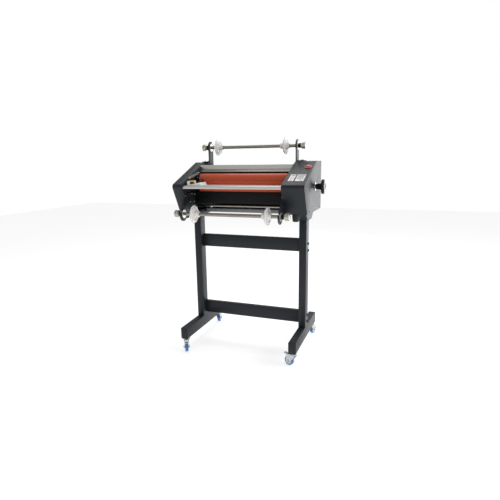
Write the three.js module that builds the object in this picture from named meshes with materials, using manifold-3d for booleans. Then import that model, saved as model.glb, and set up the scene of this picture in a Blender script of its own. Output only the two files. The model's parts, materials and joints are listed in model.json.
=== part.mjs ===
// A cold roll laminator on its castered floor stand.
// Millimetres. +X is the operator's right, +Y the back, +Z up.
// Everything is laid out around the stand's centre on the floor, and the finished
// group is then moved so that its origin is the bottom centre of its own box.
import * as THREE from "three";
import { mergeVertices } from "three/addons/utils/BufferGeometryUtils.js";
import Module from "manifold-3d";

const wasm = await Module();
wasm.setup();

// ---------------------------------------------------------------- driving sizes

const GAP = 0.3; // between two pieces that touch
const RUN = 0.6; // round a shaft that turns in a hole
const ROUND_STEPS = 18; // flats on a small round piece
const FINE_STEPS = 26; // flats on a large one

// Stand
const POST = { width: 40, depth: 60, wall: 2.5, inset: 46.75 }; // inset from the machine's outside
const FOOT = { length: 474, height: 63, wall: 2.5 };
const BEAM = { height: 70, depth: 30, wall: 2.5, frontY: 0, lowerRise: 16, upperDrop: 104 };
const SADDLE = { width: 60, height: 40, topLength: 190, bottomLength: 84, wall: 3 };
const STAND_TOP = 766; // where the machine sits on the saddles

const CASTER = {
  wheelRadius: 25, wheelWidth: 18, headRoom: 21, trail: 22, endInset: 20,
  axleRadius: 4, stemRadius: 5, stemLength: 16, headRadius: 17, cheek: 2.5, cheekGap: 2,
};
// Heading of each wheel's trailing side, in degrees from +X.
const CASTER_REST = { front_left: 300, front_right: 158, back_left: 100, back_right: 75 };

// Machine body. Its two housings stand on the pan, with a side plate closing each.
const CLEAR_WIDTH = 535; // between the side plates
const PLATE = 6;
const LEFT_COVER = 55.5; // from the side plate's inner face to the outside
const RIGHT_COVER = 115;
const COVER_WALL = 2;
const PLATE_INSET = 1.5; // the side plates' edge inside the covers' edge
const PAN = { height: 20, wall: 2, frontY: 34, backInset: 7.3, rise: 1.2 };
const RUBBER_FOOT = {
  radius: 19, height: 36, frontY: -121, backY: 150, rightInset: 61, leftInset: 29,
};
const HOUSING = { height: 259.4, backY: 197, bottomFrontY: -138, noseY: -212, noseRise: 144.4, topY: 70 };
const CORNER = { bottom: 5, back: 8, brow: 16, nose: 17 };

// Rollers, drive and nip pressure
const ROLLER = {
  radius: 30, y: -25, nipRise: 139, leftGap: 27, rightGap: 12, journalRadius: 10, chamfer: 2,
};
const LIFT = 12; // nip opening over half a turn of the handwheel
const BLOCK = { thickness: 12, wall: 11, below: 17, footDepth: 30, footHeight: 22 };
const CAM = { radius: 9, width: 11, behind: 65, belowNip: 10, shaftRadius: 7 };
const HANDWHEEL = { radius: 41, lobe: 16, hubRadius: 17, thickness: 18, hubLength: 40, out: 44 };
const GEAR = { module: 2, rollerTeeth: 34, pinionTeeth: 17, width: 8, backlash: 0.35, meshAngle: -30 };
const MOTOR = {
  gearboxRadius: 34, gearboxLength: 34, canRadius: 24, canLength: 36, standoffRadius: 4, shaftRadius: 5,
};

// Film shafts and what they carry
const FILM_SHAFT = { radius: 9, threadRadius: 7, washerRadius: 22, washer: 3 };
const UPPER_FILM = { fromBack: 72, rise: 82 }; // above the housing's top
const LOWER_FILM = { fromNose: 8, rise: -3 }; // above the stand's top
const CHUCK = { flangeRadius: 45.5, drumRadius: 37.5, hubRadius: 15, hub: 26, fromEnd: 70 };
const KNOB = { radius: 18.5, length: 26, flutes: 14, flute: 1.2 };
const SPRING_ROOM = 20; // left on the thread between bracket and knob for the brake spring
const BRACKET = { thickness: 5, width: 54, hookRadius: 34, flange: 42, lobe: 38, reachDown: 14 };
const HOOK_TURN = { upper: 40, lower: -60 }; // the hooks' mouths, in degrees from straight up to the back
const UPPER_BRACKET_INSET = { left: 15, right: GAP }; // from the side plate's inner face

// Sheets, bars and fittings between the plates
const TABLE = { sheet: 2, aboveNip: 3, fromNose: 13, beforeRoller: 7, lip: 15, lipReturn: 8 };
const GUIDE = {
  fromLeft: 20, fromLip: 18, length: 80, depth: 74, height: 7, wedge: 16, tabHeight: 24,
  knobRadius: 9, knobX: 60, knobY: 58, knobBase: 17.5,
};
const TOP_BAR = { depth: 26, height: 23, wall: 2, behindRoller: 45, belowTop: 15, lipOut: 23, lipDrop: 14 };
const TOP_COVER = { sheet: 2, belowBar: 8, behindBar: 4, slot: 25 };
const REAR = {
  sheet: 2, belowNip: 5, behindShaft: 22,
  slots: 5, slotLength: 180, slotHeight: 5, slotPitch: 14, slotsRise: 30,
};
const BACK_INSET = 5; // the back sheets inside the housings' back
const FRONT_PANEL = { sheet: 2, beforeRoller: 3, belowNip: 35, height: 64, foldDepth: 98 };
const IDLER = { radius: 5.5, behindRoller: 2, belowNip: 115 };
const INLET = { width: 48, height: 30, depth: 22, rise: 46, fromRight: 59 };

// Controls on the right housing's slope, measured up the slope from the nose corner
const PANEL = { width: 77, length: 77, thickness: 1.5, fromOutside: 55, upSlope: 94 };
const ESTOP = { radius: 12.5, height: 9, fromOutside: 27, upSlope: 226, travel: 5, stem: 16 };

// ---------------------------------------------------------------- places worked out

const DEG = Math.PI / 180;
const CASTER_HEIGHT = 2 * CASTER.wheelRadius + CASTER.headRoom;
const FOOT_TOP = CASTER_HEIGHT + FOOT.height;
const POST_TOP = STAND_TOP - SADDLE.height;
const BODY_WIDTH = LEFT_COVER + CLEAR_WIDTH + RIGHT_COVER;
const LEFT_OUTSIDE = -BODY_WIDTH / 2;
const RIGHT_OUTSIDE = BODY_WIDTH / 2;
const CLEAR_LEFT = LEFT_OUTSIDE + LEFT_COVER;
const CLEAR_RIGHT = RIGHT_OUTSIDE - RIGHT_COVER;
const CLEAR_MIDDLE = (CLEAR_LEFT + CLEAR_RIGHT) / 2;
const POST_X = RIGHT_OUTSIDE - POST.inset;

const HOUSING_BOTTOM = STAND_TOP + GAP;
const HOUSING_TOP = HOUSING_BOTTOM + HOUSING.height;
const NOSE_Z = HOUSING_BOTTOM + HOUSING.noseRise;
const SLOPE_RISE = Math.atan2(HOUSING_TOP - NOSE_Z, HOUSING.topY - HOUSING.noseY);
// Side view of the housing, as [y, z, corner radius], going round with the inside on the left.
const HOUSING_SIDE = [
  [HOUSING.bottomFrontY, HOUSING_BOTTOM, CORNER.bottom],
  [HOUSING.backY, HOUSING_BOTTOM, CORNER.bottom],
  [HOUSING.backY, HOUSING_TOP, CORNER.back],
  [HOUSING.topY, HOUSING_TOP, CORNER.brow],
  [HOUSING.noseY, NOSE_Z, CORNER.nose],
];

const NIP_Z = STAND_TOP + ROLLER.nipRise;
const UPPER_Z = NIP_Z + ROLLER.radius + GAP;
const LOWER_Z = NIP_Z - ROLLER.radius;
const ROLLER_FRONT = ROLLER.y - ROLLER.radius;
const CAM_AT = { y: ROLLER.y + CAM.behind, z: NIP_Z - CAM.belowNip };
const LIFT_PER_RADIAN = LIFT / Math.PI;
const UPPER_FILM_AT = { y: HOUSING.backY - UPPER_FILM.fromBack, z: HOUSING_TOP + UPPER_FILM.rise };
const LOWER_FILM_AT = { y: HOUSING.noseY + LOWER_FILM.fromNose, z: STAND_TOP + LOWER_FILM.rise };
const TABLE_TOP = NIP_Z + TABLE.aboveNip;
const TABLE_FRONT = HOUSING.noseY + TABLE.fromNose;
const BAR_FRONT = ROLLER.y + TOP_BAR.behindRoller;
const BAR_TOP = HOUSING_TOP - TOP_BAR.belowTop;
const SHEET_BACK = HOUSING.backY - BACK_INSET;
const REAR_TABLE = NIP_Z - REAR.belowNip;
const PANEL_BOTTOM = NIP_Z - FRONT_PANEL.belowNip - FRONT_PANEL.height;

// ---------------------------------------------------------------- solids

function toSolid(geometry) {
  const bare = geometry.clone();
  for (const name of Object.keys(bare.attributes)) if (name !== "position") bare.deleteAttribute(name);
  const merged = mergeVertices(bare, 1e-4);
  const corners = merged.index.array;
  const kept = [];
  for (let i = 0; i < corners.length; i += 3) {
    const [a, b, c] = [corners[i], corners[i + 1], corners[i + 2]];
    if (a !== b && b !== c && c !== a) kept.push(a, b, c);
  }
  return new wasm.Manifold(
    new wasm.Mesh({
      numProp: 3,
      vertProperties: new Float32Array(merged.attributes.position.array),
      triVerts: new Uint32Array(kept),
    }),
  );
}

function toGeometry(solid) {
  const { vertProperties, triVerts, numProp } = solid.getMesh();
  const positions = new Float32Array(triVerts.length * 3);
  triVerts.forEach((vertex, i) => {
    for (let axis = 0; axis < 3; axis++) positions[i * 3 + axis] = vertProperties[vertex * numProp + axis];
  });
  const geometry = new THREE.BufferGeometry();
  geometry.setAttribute("position", new THREE.BufferAttribute(positions, 3));
  geometry.computeVertexNormals();
  return geometry;
}

const join = (first, ...others) => others.reduce((whole, piece) => whole.add(piece), first);
const cut = (first, ...tools) => tools.reduce((whole, tool) => whole.subtract(tool), first);

function box([x0, x1], [y0, y1], [z0, z1]) {
  const geometry = new THREE.BoxGeometry(x1 - x0, y1 - y0, z1 - z0);
  return toSolid(geometry.translate((x0 + x1) / 2, (y0 + y1) / 2, (z0 + z1) / 2));
}

// A closed outline with rounded corners, each given as [a, b, radius].
function rounded(corners) {
  const shape = new THREE.Shape();
  corners.forEach(([a, b, radius = 0], i) => {
    const here = new THREE.Vector2(a, b);
    const back = new THREE.Vector2(...corners.at(i - 1).slice(0, 2)).sub(here).normalize();
    const on = new THREE.Vector2(...corners[(i + 1) % corners.length].slice(0, 2)).sub(here).normalize();
    const go = i === 0 ? "moveTo" : "lineTo";
    if (radius <= 0) {
      shape[go](a, b);
      return;
    }
    const half = Math.acos(THREE.MathUtils.clamp(back.dot(on), -1, 1)) / 2;
    const from = here.clone().addScaledVector(back, radius / Math.tan(half));
    const to = here.clone().addScaledVector(on, radius / Math.tan(half));
    const middle = here.clone().addScaledVector(back.clone().add(on).normalize(), radius / Math.sin(half));
    shape[go](from.x, from.y);
    shape.absarc(
      middle.x, middle.y, radius,
      Math.atan2(from.y - middle.y, from.x - middle.x),
      Math.atan2(to.y - middle.y, to.x - middle.x),
      back.cross(on) > 0,
    );
  });
  shape.closePath();
  return shape;
}

// The same outline moved inwards, for a wall or a seam.
function inset(corners, distance) {
  const edge = ([a0, b0], [a1, b1]) => {
    const along = new THREE.Vector2(a1 - a0, b1 - b0).normalize();
    const start = new THREE.Vector2(a0 - along.y * distance, b0 + along.x * distance);
    return { start, along };
  };
  return corners.map((corner, i) => {
    const before = edge(corners.at(i - 1), corner);
    const after = edge(corner, corners[(i + 1) % corners.length]);
    const between = after.start.clone().sub(before.start);
    const reach = between.cross(after.along) / before.along.cross(after.along);
    const at = before.start.clone().addScaledVector(before.along, reach);
    return [at.x, at.y, Math.max((corner[2] ?? 0) - distance, 0)];
  });
}

const X = new THREE.Vector3(1, 0, 0);
const Y = new THREE.Vector3(0, 1, 0);
const Z = new THREE.Vector3(0, 0, 1);

function extrude(shape, depth, steps) {
  return new THREE.ExtrudeGeometry(shape, { depth, bevelEnabled: false, curveSegments: steps });
}

// An outline in (y, z) given a thickness along X.
function slabX(shape, x0, x1, steps = 3) {
  const turn = new THREE.Matrix4().makeBasis(Y, Z, X).setPosition(x0, 0, 0);
  return toSolid(extrude(shape, x1 - x0, steps).applyMatrix4(turn));
}

// An outline in (x, z) given a thickness along Y.
function slabY(shape, y0, y1, steps = 3) {
  const turn = new THREE.Matrix4().makeBasis(X, Z, Y.clone().negate()).setPosition(0, y1, 0);
  return toSolid(extrude(shape, y1 - y0, steps).applyMatrix4(turn));
}

// An outline in (x, y) given a thickness along Z.
function slabZ(shape, z0, z1, steps = 3) {
  return toSolid(extrude(shape, z1 - z0, steps).translate(0, 0, z0));
}

// A solid turned about the X axis: the profile is a list of [x, radius], from left to right.
function turned(profile, steps = ROUND_STEPS) {
  const points = profile.map(([x, radius]) => new THREE.Vector2(radius, x));
  return toSolid(new THREE.LatheGeometry(points, steps).rotateZ(-Math.PI / 2));
}

const rod = (radius, x0, x1, steps = ROUND_STEPS) =>
  turned([[x0, 0], [x0, radius], [x1, radius], [x1, 0]], steps);
const rodX = (radius, x0, x1, y, z, steps) => rod(radius, x0, x1, steps).translate([0, y, z]);
const rodY = (radius, y0, y1, x, z, steps) =>
  rod(radius, y0, y1, steps).rotate([0, 0, 90]).translate([x, 0, z]);
const rodZ = (radius, z0, z1, x, y, steps) =>
  rod(radius, z0, z1, steps).rotate([0, -90, 0]).translate([x, y, 0]);

// A folded sheet: the middle line's points in (y, z), thickened to the left of its path.
function foldedSheet(path, sheet) {
  const points = path.map((p) => new THREE.Vector2(...p));
  const sides = points.slice(1).map((p, i) => p.clone().sub(points[i]).normalize());
  const other = points.map((p, i) => {
    const before = sides[Math.max(i - 1, 0)];
    const after = sides[Math.min(i, sides.length - 1)];
    const left = new THREE.Vector2(-before.y - after.y, before.x + after.x).normalize();
    const reach = sheet / Math.cos(Math.abs(before.angleTo(after)) / 2);
    return p.clone().addScaledVector(left, reach);
  });
  return new THREE.Shape([...points, ...other.reverse()]);
}

// ---------------------------------------------------------------- materials

const finish = (color, roughness, metalness) =>
  new THREE.MeshStandardMaterial({ color, roughness, metalness });
const MATERIAL = {
  paint: finish(0x3a3e43, 0.42, 0.2),
  grey: finish(0x7c7f80, 0.45, 0.3),
  silicone: finish(0xb8553a, 0.55, 0),
  aluminium: finish(0xc2c2bd, 0.35, 0.85),
  steel: finish(0xa9a8a4, 0.3, 0.95),
  black: finish(0x17181a, 0.5, 0),
  white: finish(0xe6e3e1, 0.5, 0),
  nickel: finish(0xc9c7bd, 0.35, 0.8),
  zinc: finish(0x9fa1a0, 0.4, 0.9),
  tyre: finish(0x4a6fa0, 0.6, 0),
  red: finish(0xb3261e, 0.35, 0),
  rubber: finish(0x111213, 0.8, 0),
};

// ---------------------------------------------------------------- the assembly

const model = new THREE.Group();

function add(parent, name, solid, material) {
  const mesh = new THREE.Mesh(toGeometry(solid), material);
  mesh.name = name;
  parent.add(mesh);
}

function pivot(parent, x, y, z, turn = 0) {
  const group = new THREE.Group();
  group.position.set(x, y, z);
  group.rotation.z = turn;
  parent.add(group);
  return group;
}

// ---------------------------------------------------------------- stand

const sides = { left: -1, right: 1 };
const CASTER_Y = FOOT.length / 2 - CASTER.endInset;

function buildPost(x) {
  const half = [POST.width / 2, POST.depth / 2];
  const outside = [
    [x - half[0], -half[1], 4], [x + half[0], -half[1], 4],
    [x + half[0], half[1], 4], [x - half[0], half[1], 4],
  ];
  const shape = rounded(outside);
  shape.holes.push(rounded(inset(outside, POST.wall)));
  return slabZ(shape, FOOT_TOP + GAP, POST_TOP - GAP, 1);
}

function buildFoot(x) {
  const half = POST.width / 2;
  const top = FOOT_TOP;
  const section = [
    [x - half, CASTER_HEIGHT, 4], [x + half, CASTER_HEIGHT, 4], [x + half, top, 4], [x - half, top, 4],
  ];
  const outside = slabY(rounded(section), -FOOT.length / 2, FOOT.length / 2, 1);
  const end = FOOT.length / 2 - FOOT.wall;
  const hollow = slabY(rounded(inset(section, FOOT.wall)), -end, end, 1);
  const stemHoles = [-1, 1].map((end) =>
    rodZ(CASTER.stemRadius + RUN, CASTER_HEIGHT - 1, CASTER_HEIGHT + FOOT.wall + 1, x, end * CASTER_Y),
  );
  return cut(outside, hollow, ...stemHoles);
}

function buildBeam(bottom) {
  const front = BEAM.frontY;
  const corners = [
    [front, bottom, 4], [front + BEAM.depth, bottom, 4],
    [front + BEAM.depth, bottom + BEAM.height, 4], [front, bottom + BEAM.height, 4],
  ];
  const shape = rounded(corners);
  shape.holes.push(rounded(inset(corners, BEAM.wall)));
  const reach = POST_X - POST.width / 2 - GAP;
  return slabX(shape, -reach, reach, 1);
}

function buildSaddle(x) {
  const corners = [
    [-SADDLE.bottomLength / 2, POST_TOP, 3], [SADDLE.bottomLength / 2, POST_TOP, 3],
    [SADDLE.topLength / 2, STAND_TOP, 1], [-SADDLE.topLength / 2, STAND_TOP, 1],
  ];
  const half = SADDLE.width / 2;
  const pocket = inset(corners, SADDLE.wall);
  pocket[2][1] = pocket[3][1] = STAND_TOP + SADDLE.wall;
  return cut(
    slabX(rounded(corners), x - half, x + half, 1),
    slabX(rounded(pocket), x - half + SADDLE.wall, x + half - SADDLE.wall, 1),
  );
}

for (const [side, sign] of Object.entries(sides)) {
  add(model, `${side}_foot`, buildFoot(sign * POST_X), MATERIAL.paint);
  add(model, `${side}_post`, buildPost(sign * POST_X), MATERIAL.paint);
  add(model, `${side}_saddle`, buildSaddle(sign * POST_X), MATERIAL.paint);
}
add(model, "lower_beam", buildBeam(FOOT_TOP + BEAM.lowerRise), MATERIAL.paint);
add(model, "upper_beam", buildBeam(POST_TOP - BEAM.upperDrop - BEAM.height), MATERIAL.paint);

// ---------------------------------------------------------------- casters

// In the fork's own frame the swivel axis is Z and the wheel trails along +X.
const CHEEK_IN = CASTER.wheelWidth / 2 + CASTER.cheekGap;
const CHEEK_OUT = CHEEK_IN + CASTER.cheek;
const FORK_TOP = CASTER_HEIGHT - GAP;
const CROWN = FORK_TOP - 10;
const AXLE_Z = CASTER.wheelRadius;
const PEDAL = { x: CASTER.trail + 9, z: CROWN - 4.5, barrel: 4, pin: 2, reach: 24, width: 17 };

function buildFork(braked) {
  const lobe = CASTER.axleRadius + 4;
  const back = braked
    ? [[PEDAL.x + 5, CROWN - 9, 3], [PEDAL.x + 5, CROWN + 2, 2]]
    : [[CASTER.headRadius + 3, CROWN + 2, 2]];
  const cheek = rounded([
    [CASTER.trail - lobe, AXLE_Z - lobe, lobe * 0.8],
    [CASTER.trail + lobe, AXLE_Z - lobe, lobe * 0.8],
    [CASTER.trail + lobe + 2, AXLE_Z + 12, 4],
    ...back,
    [-CASTER.headRadius, CROWN + 2, 2],
    [-CASTER.headRadius + 2, CROWN - 8, 4],
  ]);
  const pieces = [
    slabY(cheek, -CHEEK_OUT, -CHEEK_IN, 1),
    slabY(cheek, CHEEK_IN, CHEEK_OUT, 1),
    box([-CASTER.headRadius + 2, CASTER.headRadius + 1], [-CHEEK_OUT, CHEEK_OUT], [CROWN - 1, CROWN + 2]),
    rodZ(CASTER.headRadius - 2, CROWN, FORK_TOP, 0, 0, 14),
    rodZ(CASTER.stemRadius, FORK_TOP - 1, FORK_TOP + CASTER.stemLength, 0, 0, 10),
    rodY(CASTER.axleRadius, -CHEEK_OUT - 3, CHEEK_OUT + 3, CASTER.trail, AXLE_Z, 10),
  ];
  if (braked) pieces.push(rodY(PEDAL.pin, -CHEEK_IN - 1, CHEEK_IN + 1, PEDAL.x, PEDAL.z, 8));
  return join(...pieces);
}

// The wheel's own frame has its axle along Y.
function buildWheel() {
  const { wheelRadius: r, wheelWidth: w } = CASTER;
  const bore = CASTER.axleRadius + RUN;
  const half = w / 2;
  const profile = [
    [-half - 1, bore], [-half - 1, 8], [-half + 2, 9], [-half + 2, r - 7], [-half, r - 6],
    [-half + 1, r], [half - 1, r], [half, r - 6], [half - 2, r - 7], [half - 2, 9],
    [half + 1, 8], [half + 1, bore], [-half - 1, bore],
  ];
  return turned(profile).rotate([0, 0, 90]);
}

// The brake pedal turns about its barrel, which lies along Y at the origin.
function buildPedal() {
  const half = PEDAL.width / 2;
  const tread = rounded([
    [1, -1.6, 0], [PEDAL.reach - 4, 1.5, 4], [PEDAL.reach, 0.5, 1],
    [PEDAL.reach, 4, 1], [PEDAL.reach - 5, 5, 3], [1, 2, 0],
  ]);
  return cut(
    join(rodY(PEDAL.barrel, -half, half, 0, 0, 12), slabY(tread, -half, half, 1)),
    rodY(PEDAL.pin + RUN, -half - 1, half + 1, 0, 0, 8),
  );
}

for (const [corner, heading] of Object.entries(CASTER_REST)) {
  const x = sides[corner.split("_")[1]] * POST_X;
  const y = corner.startsWith("front") ? -CASTER_Y : CASTER_Y;
  const braked = corner.startsWith("front");
  const swivel = pivot(model, x, y, 0, heading * DEG);
  add(swivel, `${corner}_caster_fork`, buildFork(braked), MATERIAL.zinc);
  add(pivot(swivel, CASTER.trail, 0, AXLE_Z), `${corner}_caster_wheel`, buildWheel(), MATERIAL.tyre);
  if (!braked) continue;
  add(pivot(swivel, PEDAL.x, 0, PEDAL.z), `${corner}_brake_pedal`, buildPedal(), MATERIAL.black);
}

// ---------------------------------------------------------------- machine base

// A folded tray that closes the machine's underside between the two saddles.
function buildPan() {
  const left = -POST_X + SADDLE.width / 2 + GAP;
  const right = CLEAR_RIGHT + PLATE;
  const top = HOUSING_BOTTOM + PAN.rise;
  const back = HOUSING.backY - PAN.backInset;
  const outline = (grow, r) => rounded([
    [left + grow, PAN.frontY + grow, r], [right - grow, PAN.frontY + grow, r],
    [right - grow, back - grow, r], [left + grow, back - grow, r],
  ]);
  return cut(
    slabZ(outline(0, 2), top - PAN.height, top, 1),
    slabZ(outline(PAN.wall, 0), top - PAN.height + PAN.wall, top + 1, 1),
  );
}

function buildRubberFoot() {
  const { radius, height } = RUBBER_FOOT;
  const profile = [
    [-height, 0], [-height, radius - 4], [-height + 3, radius - 2], [-5, radius],
    [-1, radius], [0, radius - 1], [0, 0],
  ];
  return turned(profile).rotate([0, -90, 0]);
}

add(model, "base_pan", buildPan(), MATERIAL.grey);
for (const [side, sign] of Object.entries(sides)) {
  const x = sign < 0 ? LEFT_OUTSIDE + RUBBER_FOOT.leftInset : RIGHT_OUTSIDE - RUBBER_FOOT.rightInset;
  const ends = { front: RUBBER_FOOT.frontY, back: RUBBER_FOOT.backY };
  for (const [end, y] of Object.entries(ends)) {
    const foot = buildRubberFoot().translate([x, y, STAND_TOP]);
    add(model, `${end}_${side}_rubber_foot`, foot, MATERIAL.rubber);
  }
}

// ---------------------------------------------------------------- side plates and covers

const plateOutline = inset(HOUSING_SIDE, PLATE_INSET);

// A slot for the upper journal, long enough for the nip to open.
function journalSlot(x0, x1) {
  const half = ROLLER.journalRadius + RUN;
  return join(
    rodX(half, x0, x1, ROLLER.y, UPPER_Z),
    rodX(half, x0, x1, ROLLER.y, UPPER_Z + LIFT),
    box([x0, x1], [ROLLER.y - half, ROLLER.y + half], [UPPER_Z, UPPER_Z + LIFT]),
  );
}

function buildSidePlate(x0, x1) {
  const [a, b] = [x0 - 1, x1 + 1];
  return cut(
    slabX(rounded(plateOutline), x0, x1),
    rodX(ROLLER.journalRadius + RUN, a, b, ROLLER.y, LOWER_Z),
    journalSlot(a, b),
    rodX(CAM.shaftRadius + RUN, a, b, CAM_AT.y, CAM_AT.z),
  );
}

// A deep cover, open on the side that the side plate closes.
function buildCover(openX, closedX) {
  const [x0, x1] = [Math.min(openX, closedX), Math.max(openX, closedX)];
  const inward = Math.sign(openX - closedX);
  const [h0, h1] = [closedX + inward * COVER_WALL, openX + inward].sort((a, b) => a - b);
  return cut(slabX(rounded(HOUSING_SIDE), x0, x1), slabX(rounded(inset(HOUSING_SIDE, COVER_WALL)), h0, h1));
}

// Puts a solid on the operator's slope: its own +Y goes up the slope and its +Z out of it.
function onSlope(solid, x, upSlope) {
  return solid
    .rotate([SLOPE_RISE / DEG, 0, 0])
    .translate([
      x, HOUSING.noseY + upSlope * Math.cos(SLOPE_RISE), NOSE_Z + upSlope * Math.sin(SLOPE_RISE),
    ]);
}

const ESTOP_X = RIGHT_OUTSIDE - ESTOP.fromOutside;
const plateFaces = { left: [CLEAR_LEFT - PLATE, CLEAR_LEFT], right: [CLEAR_RIGHT, CLEAR_RIGHT + PLATE] };
add(model, "left_side_plate", buildSidePlate(...plateFaces.left), MATERIAL.paint);
add(model, "right_side_plate", buildSidePlate(...plateFaces.right), MATERIAL.paint);
add(model, "left_cover", buildCover(plateFaces.left[0] - GAP, LEFT_OUTSIDE), MATERIAL.paint);
const rightCover = cut(
  buildCover(plateFaces.right[1] + GAP, RIGHT_OUTSIDE),
  rodX(CAM.shaftRadius + 2, RIGHT_OUTSIDE - 5, RIGHT_OUTSIDE + 5, CAM_AT.y, CAM_AT.z),
  onSlope(rodZ(ESTOP.radius + RUN, -6, 6, 0, 0), ESTOP_X, ESTOP.upSlope),
);
add(model, "right_cover", rightCover, MATERIAL.paint);

// ---------------------------------------------------------------- sheets and bars between the plates

const INLET_RIM = 4;
const SPAN = [CLEAR_LEFT + GAP, CLEAR_RIGHT - GAP];
const spanned = (shape, steps = 2) => slabX(shape, ...SPAN, steps);

// Top bar: a hollow extrusion with a lip that leads down to the roller.
function buildTopBar() {
  const { depth, height, wall, lipOut, lipDrop } = TOP_BAR;
  const bottom = BAR_TOP - height;
  const back = BAR_FRONT + depth;
  const lip = [BAR_FRONT - lipOut, bottom - lipDrop];
  const shape = rounded([
    [lip[0], lip[1], 0], [lip[0] + 2, lip[1] - wall, 0],
    [BAR_FRONT + wall, bottom - wall, 1], [back, bottom - wall, 2],
    [back, BAR_TOP, 3], [BAR_FRONT, BAR_TOP, 3], [BAR_FRONT, bottom, 1],
  ]);
  shape.holes.push(rounded([
    [BAR_FRONT + wall, bottom, 0], [back - wall, bottom, 0],
    [back - wall, BAR_TOP - wall, 0], [BAR_FRONT + wall, BAR_TOP - wall, 0],
  ]));
  return spanned(shape);
}

function buildFeedTable() {
  const { sheet, beforeRoller, lip, lipReturn } = TABLE;
  const back = ROLLER_FRONT - beforeRoller;
  const lipBottom = TABLE_TOP - lip;
  const shape = rounded([
    [back, TABLE_TOP - sheet, 0], [TABLE_FRONT + sheet, TABLE_TOP - sheet, 4],
    [TABLE_FRONT + sheet, lipBottom + sheet, 0],
    [TABLE_FRONT + lipReturn, lipBottom + sheet, 0], [TABLE_FRONT + lipReturn, lipBottom, 0],
    [TABLE_FRONT, lipBottom, 1], [TABLE_FRONT, TABLE_TOP, 6], [back, TABLE_TOP, 0],
  ].reverse());
  return spanned(shape, 3);
}

function buildFrontPanel() {
  const { sheet, beforeRoller, height, foldDepth } = FRONT_PANEL;
  const y = ROLLER_FRONT - beforeRoller;
  const path = [[y + foldDepth, PANEL_BOTTOM], [y, PANEL_BOTTOM], [y, PANEL_BOTTOM + height]];
  return spanned(foldedSheet(path, -sheet));
}

function buildTopCover() {
  const { sheet, belowBar, behindBar, slot } = TOP_COVER;
  const z = BAR_TOP - belowBar;
  const front = BAR_FRONT + TOP_BAR.depth + behindBar;
  return spanned(foldedSheet([[front, z], [SHEET_BACK, z], [SHEET_BACK, NIP_Z + slot]], sheet));
}

// The exit table, folded down into the back wall, with air slots and the mains inlet's cut-out.
const INLET_AT = { x: CLEAR_RIGHT - INLET.fromRight, z: STAND_TOP + INLET.rise };
function buildRearPanel() {
  const { sheet, behindShaft, slots, slotLength, slotHeight, slotPitch, slotsRise } = REAR;
  const path = [
    [CAM_AT.y + behindShaft, REAR_TABLE], [SHEET_BACK, REAR_TABLE], [SHEET_BACK, HOUSING_BOTTOM + 1],
  ];
  const through = [SHEET_BACK - 2 * sheet, SHEET_BACK + sheet];
  const slotCuts = Array.from({ length: slots }, (_, i) => {
    const z = STAND_TOP + slotsRise + i * slotPitch;
    const along = [CLEAR_MIDDLE - slotLength / 2, CLEAR_MIDDLE + slotLength / 2];
    return box(along, through, [z, z + slotHeight]);
  });
  const [w, h] = [INLET.width / 2 - INLET_RIM + GAP, INLET.height / 2 - INLET_RIM + GAP];
  const opening = box([INLET_AT.x - w, INLET_AT.x + w], through, [INLET_AT.z - h, INLET_AT.z + h]);
  return cut(spanned(foldedSheet(path, -sheet)), opening, ...slotCuts);
}

// Mains inlet: a flanged socket with a three-blade well, open to the back.
function buildInlet() {
  const { width, height, depth } = INLET;
  const { x, z } = INLET_AT;
  const face = SHEET_BACK + GAP;
  const [w, h] = [width / 2, height / 2];
  const body = [w - INLET_RIM, h - INLET_RIM];
  const well = box(
    [x - body[0] + 4, x + body[0] - 4], [face - depth + 4, face + 6], [z - body[1] + 3, z + body[1] - 3],
  );
  const blades = [[-7, 2], [0, -3], [7, 2]].map(([dx, dz]) =>
    box([x + dx - 1, x + dx + 1], [face - depth + 2, face - 2], [z + dz - 2, z + dz + 2]),
  );
  const shell = join(
    box([x - w, x + w], [face, face + 3], [z - h, z + h]),
    box([x - body[0], x + body[0]], [face - depth, face + 1], [z - body[1], z + body[1]]),
  );
  return join(cut(shell, well), ...blades);
}

add(model, "top_guide_bar", buildTopBar(), MATERIAL.aluminium);
add(model, "top_cover", buildTopCover(), MATERIAL.paint);
add(model, "feed_table", buildFeedTable(), MATERIAL.aluminium);
add(model, "front_panel", buildFrontPanel(), MATERIAL.black);
add(model, "rear_panel", buildRearPanel(), MATERIAL.paint);
add(model, "mains_inlet", buildInlet(), MATERIAL.black);
const idlerRod = rodX(IDLER.radius, ...SPAN, ROLLER.y + IDLER.behindRoller, NIP_Z - IDLER.belowNip);
add(model, "idler_rod", idlerRod, MATERIAL.steel);

// ---------------------------------------------------------------- paper guide

// It slides along the feed table: a low wedge, an upright tab and a thumb screw.
const guide = pivot(model, CLEAR_LEFT + GUIDE.fromLeft, TABLE_FRONT + GUIDE.fromLip, TABLE_TOP + GAP);
function buildGuide() {
  const { length, depth, height, wedge, tabHeight, knobRadius, knobX, knobY } = GUIDE;
  const sheet = rounded([
    [0, 0, 0], [length, 0, 0.8], [length - 10, wedge, 2],
    [22, height, 2], [14, height, 2], [14, tabHeight, 2], [0, tabHeight, 4],
  ]);
  const hole = rodZ(knobRadius / 2 + RUN, height - 4, tabHeight + 1, knobX, knobY, 16);
  return cut(slabY(sheet, 0, depth, 1), hole);
}
add(guide, "paper_guide", buildGuide(), MATERIAL.white);
function buildThumbScrew() {
  const { height, knobRadius: r, knobBase } = GUIDE;
  const base = height - 4 + GAP;
  const top = knobBase + 18;
  const profile = [
    [base, 0], [base, r / 2], [knobBase, r / 2], [knobBase, r - 1], [knobBase + 2, r],
    [top - 2, r], [top, r - 2], [top, 0],
  ];
  return turned(profile, 16).rotate([0, -90, 0]);
}
add(pivot(guide, GUIDE.knobX, GUIDE.knobY, 0), "guide_thumb_screw", buildThumbScrew(), MATERIAL.black);

// ---------------------------------------------------------------- rollers and drive

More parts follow.
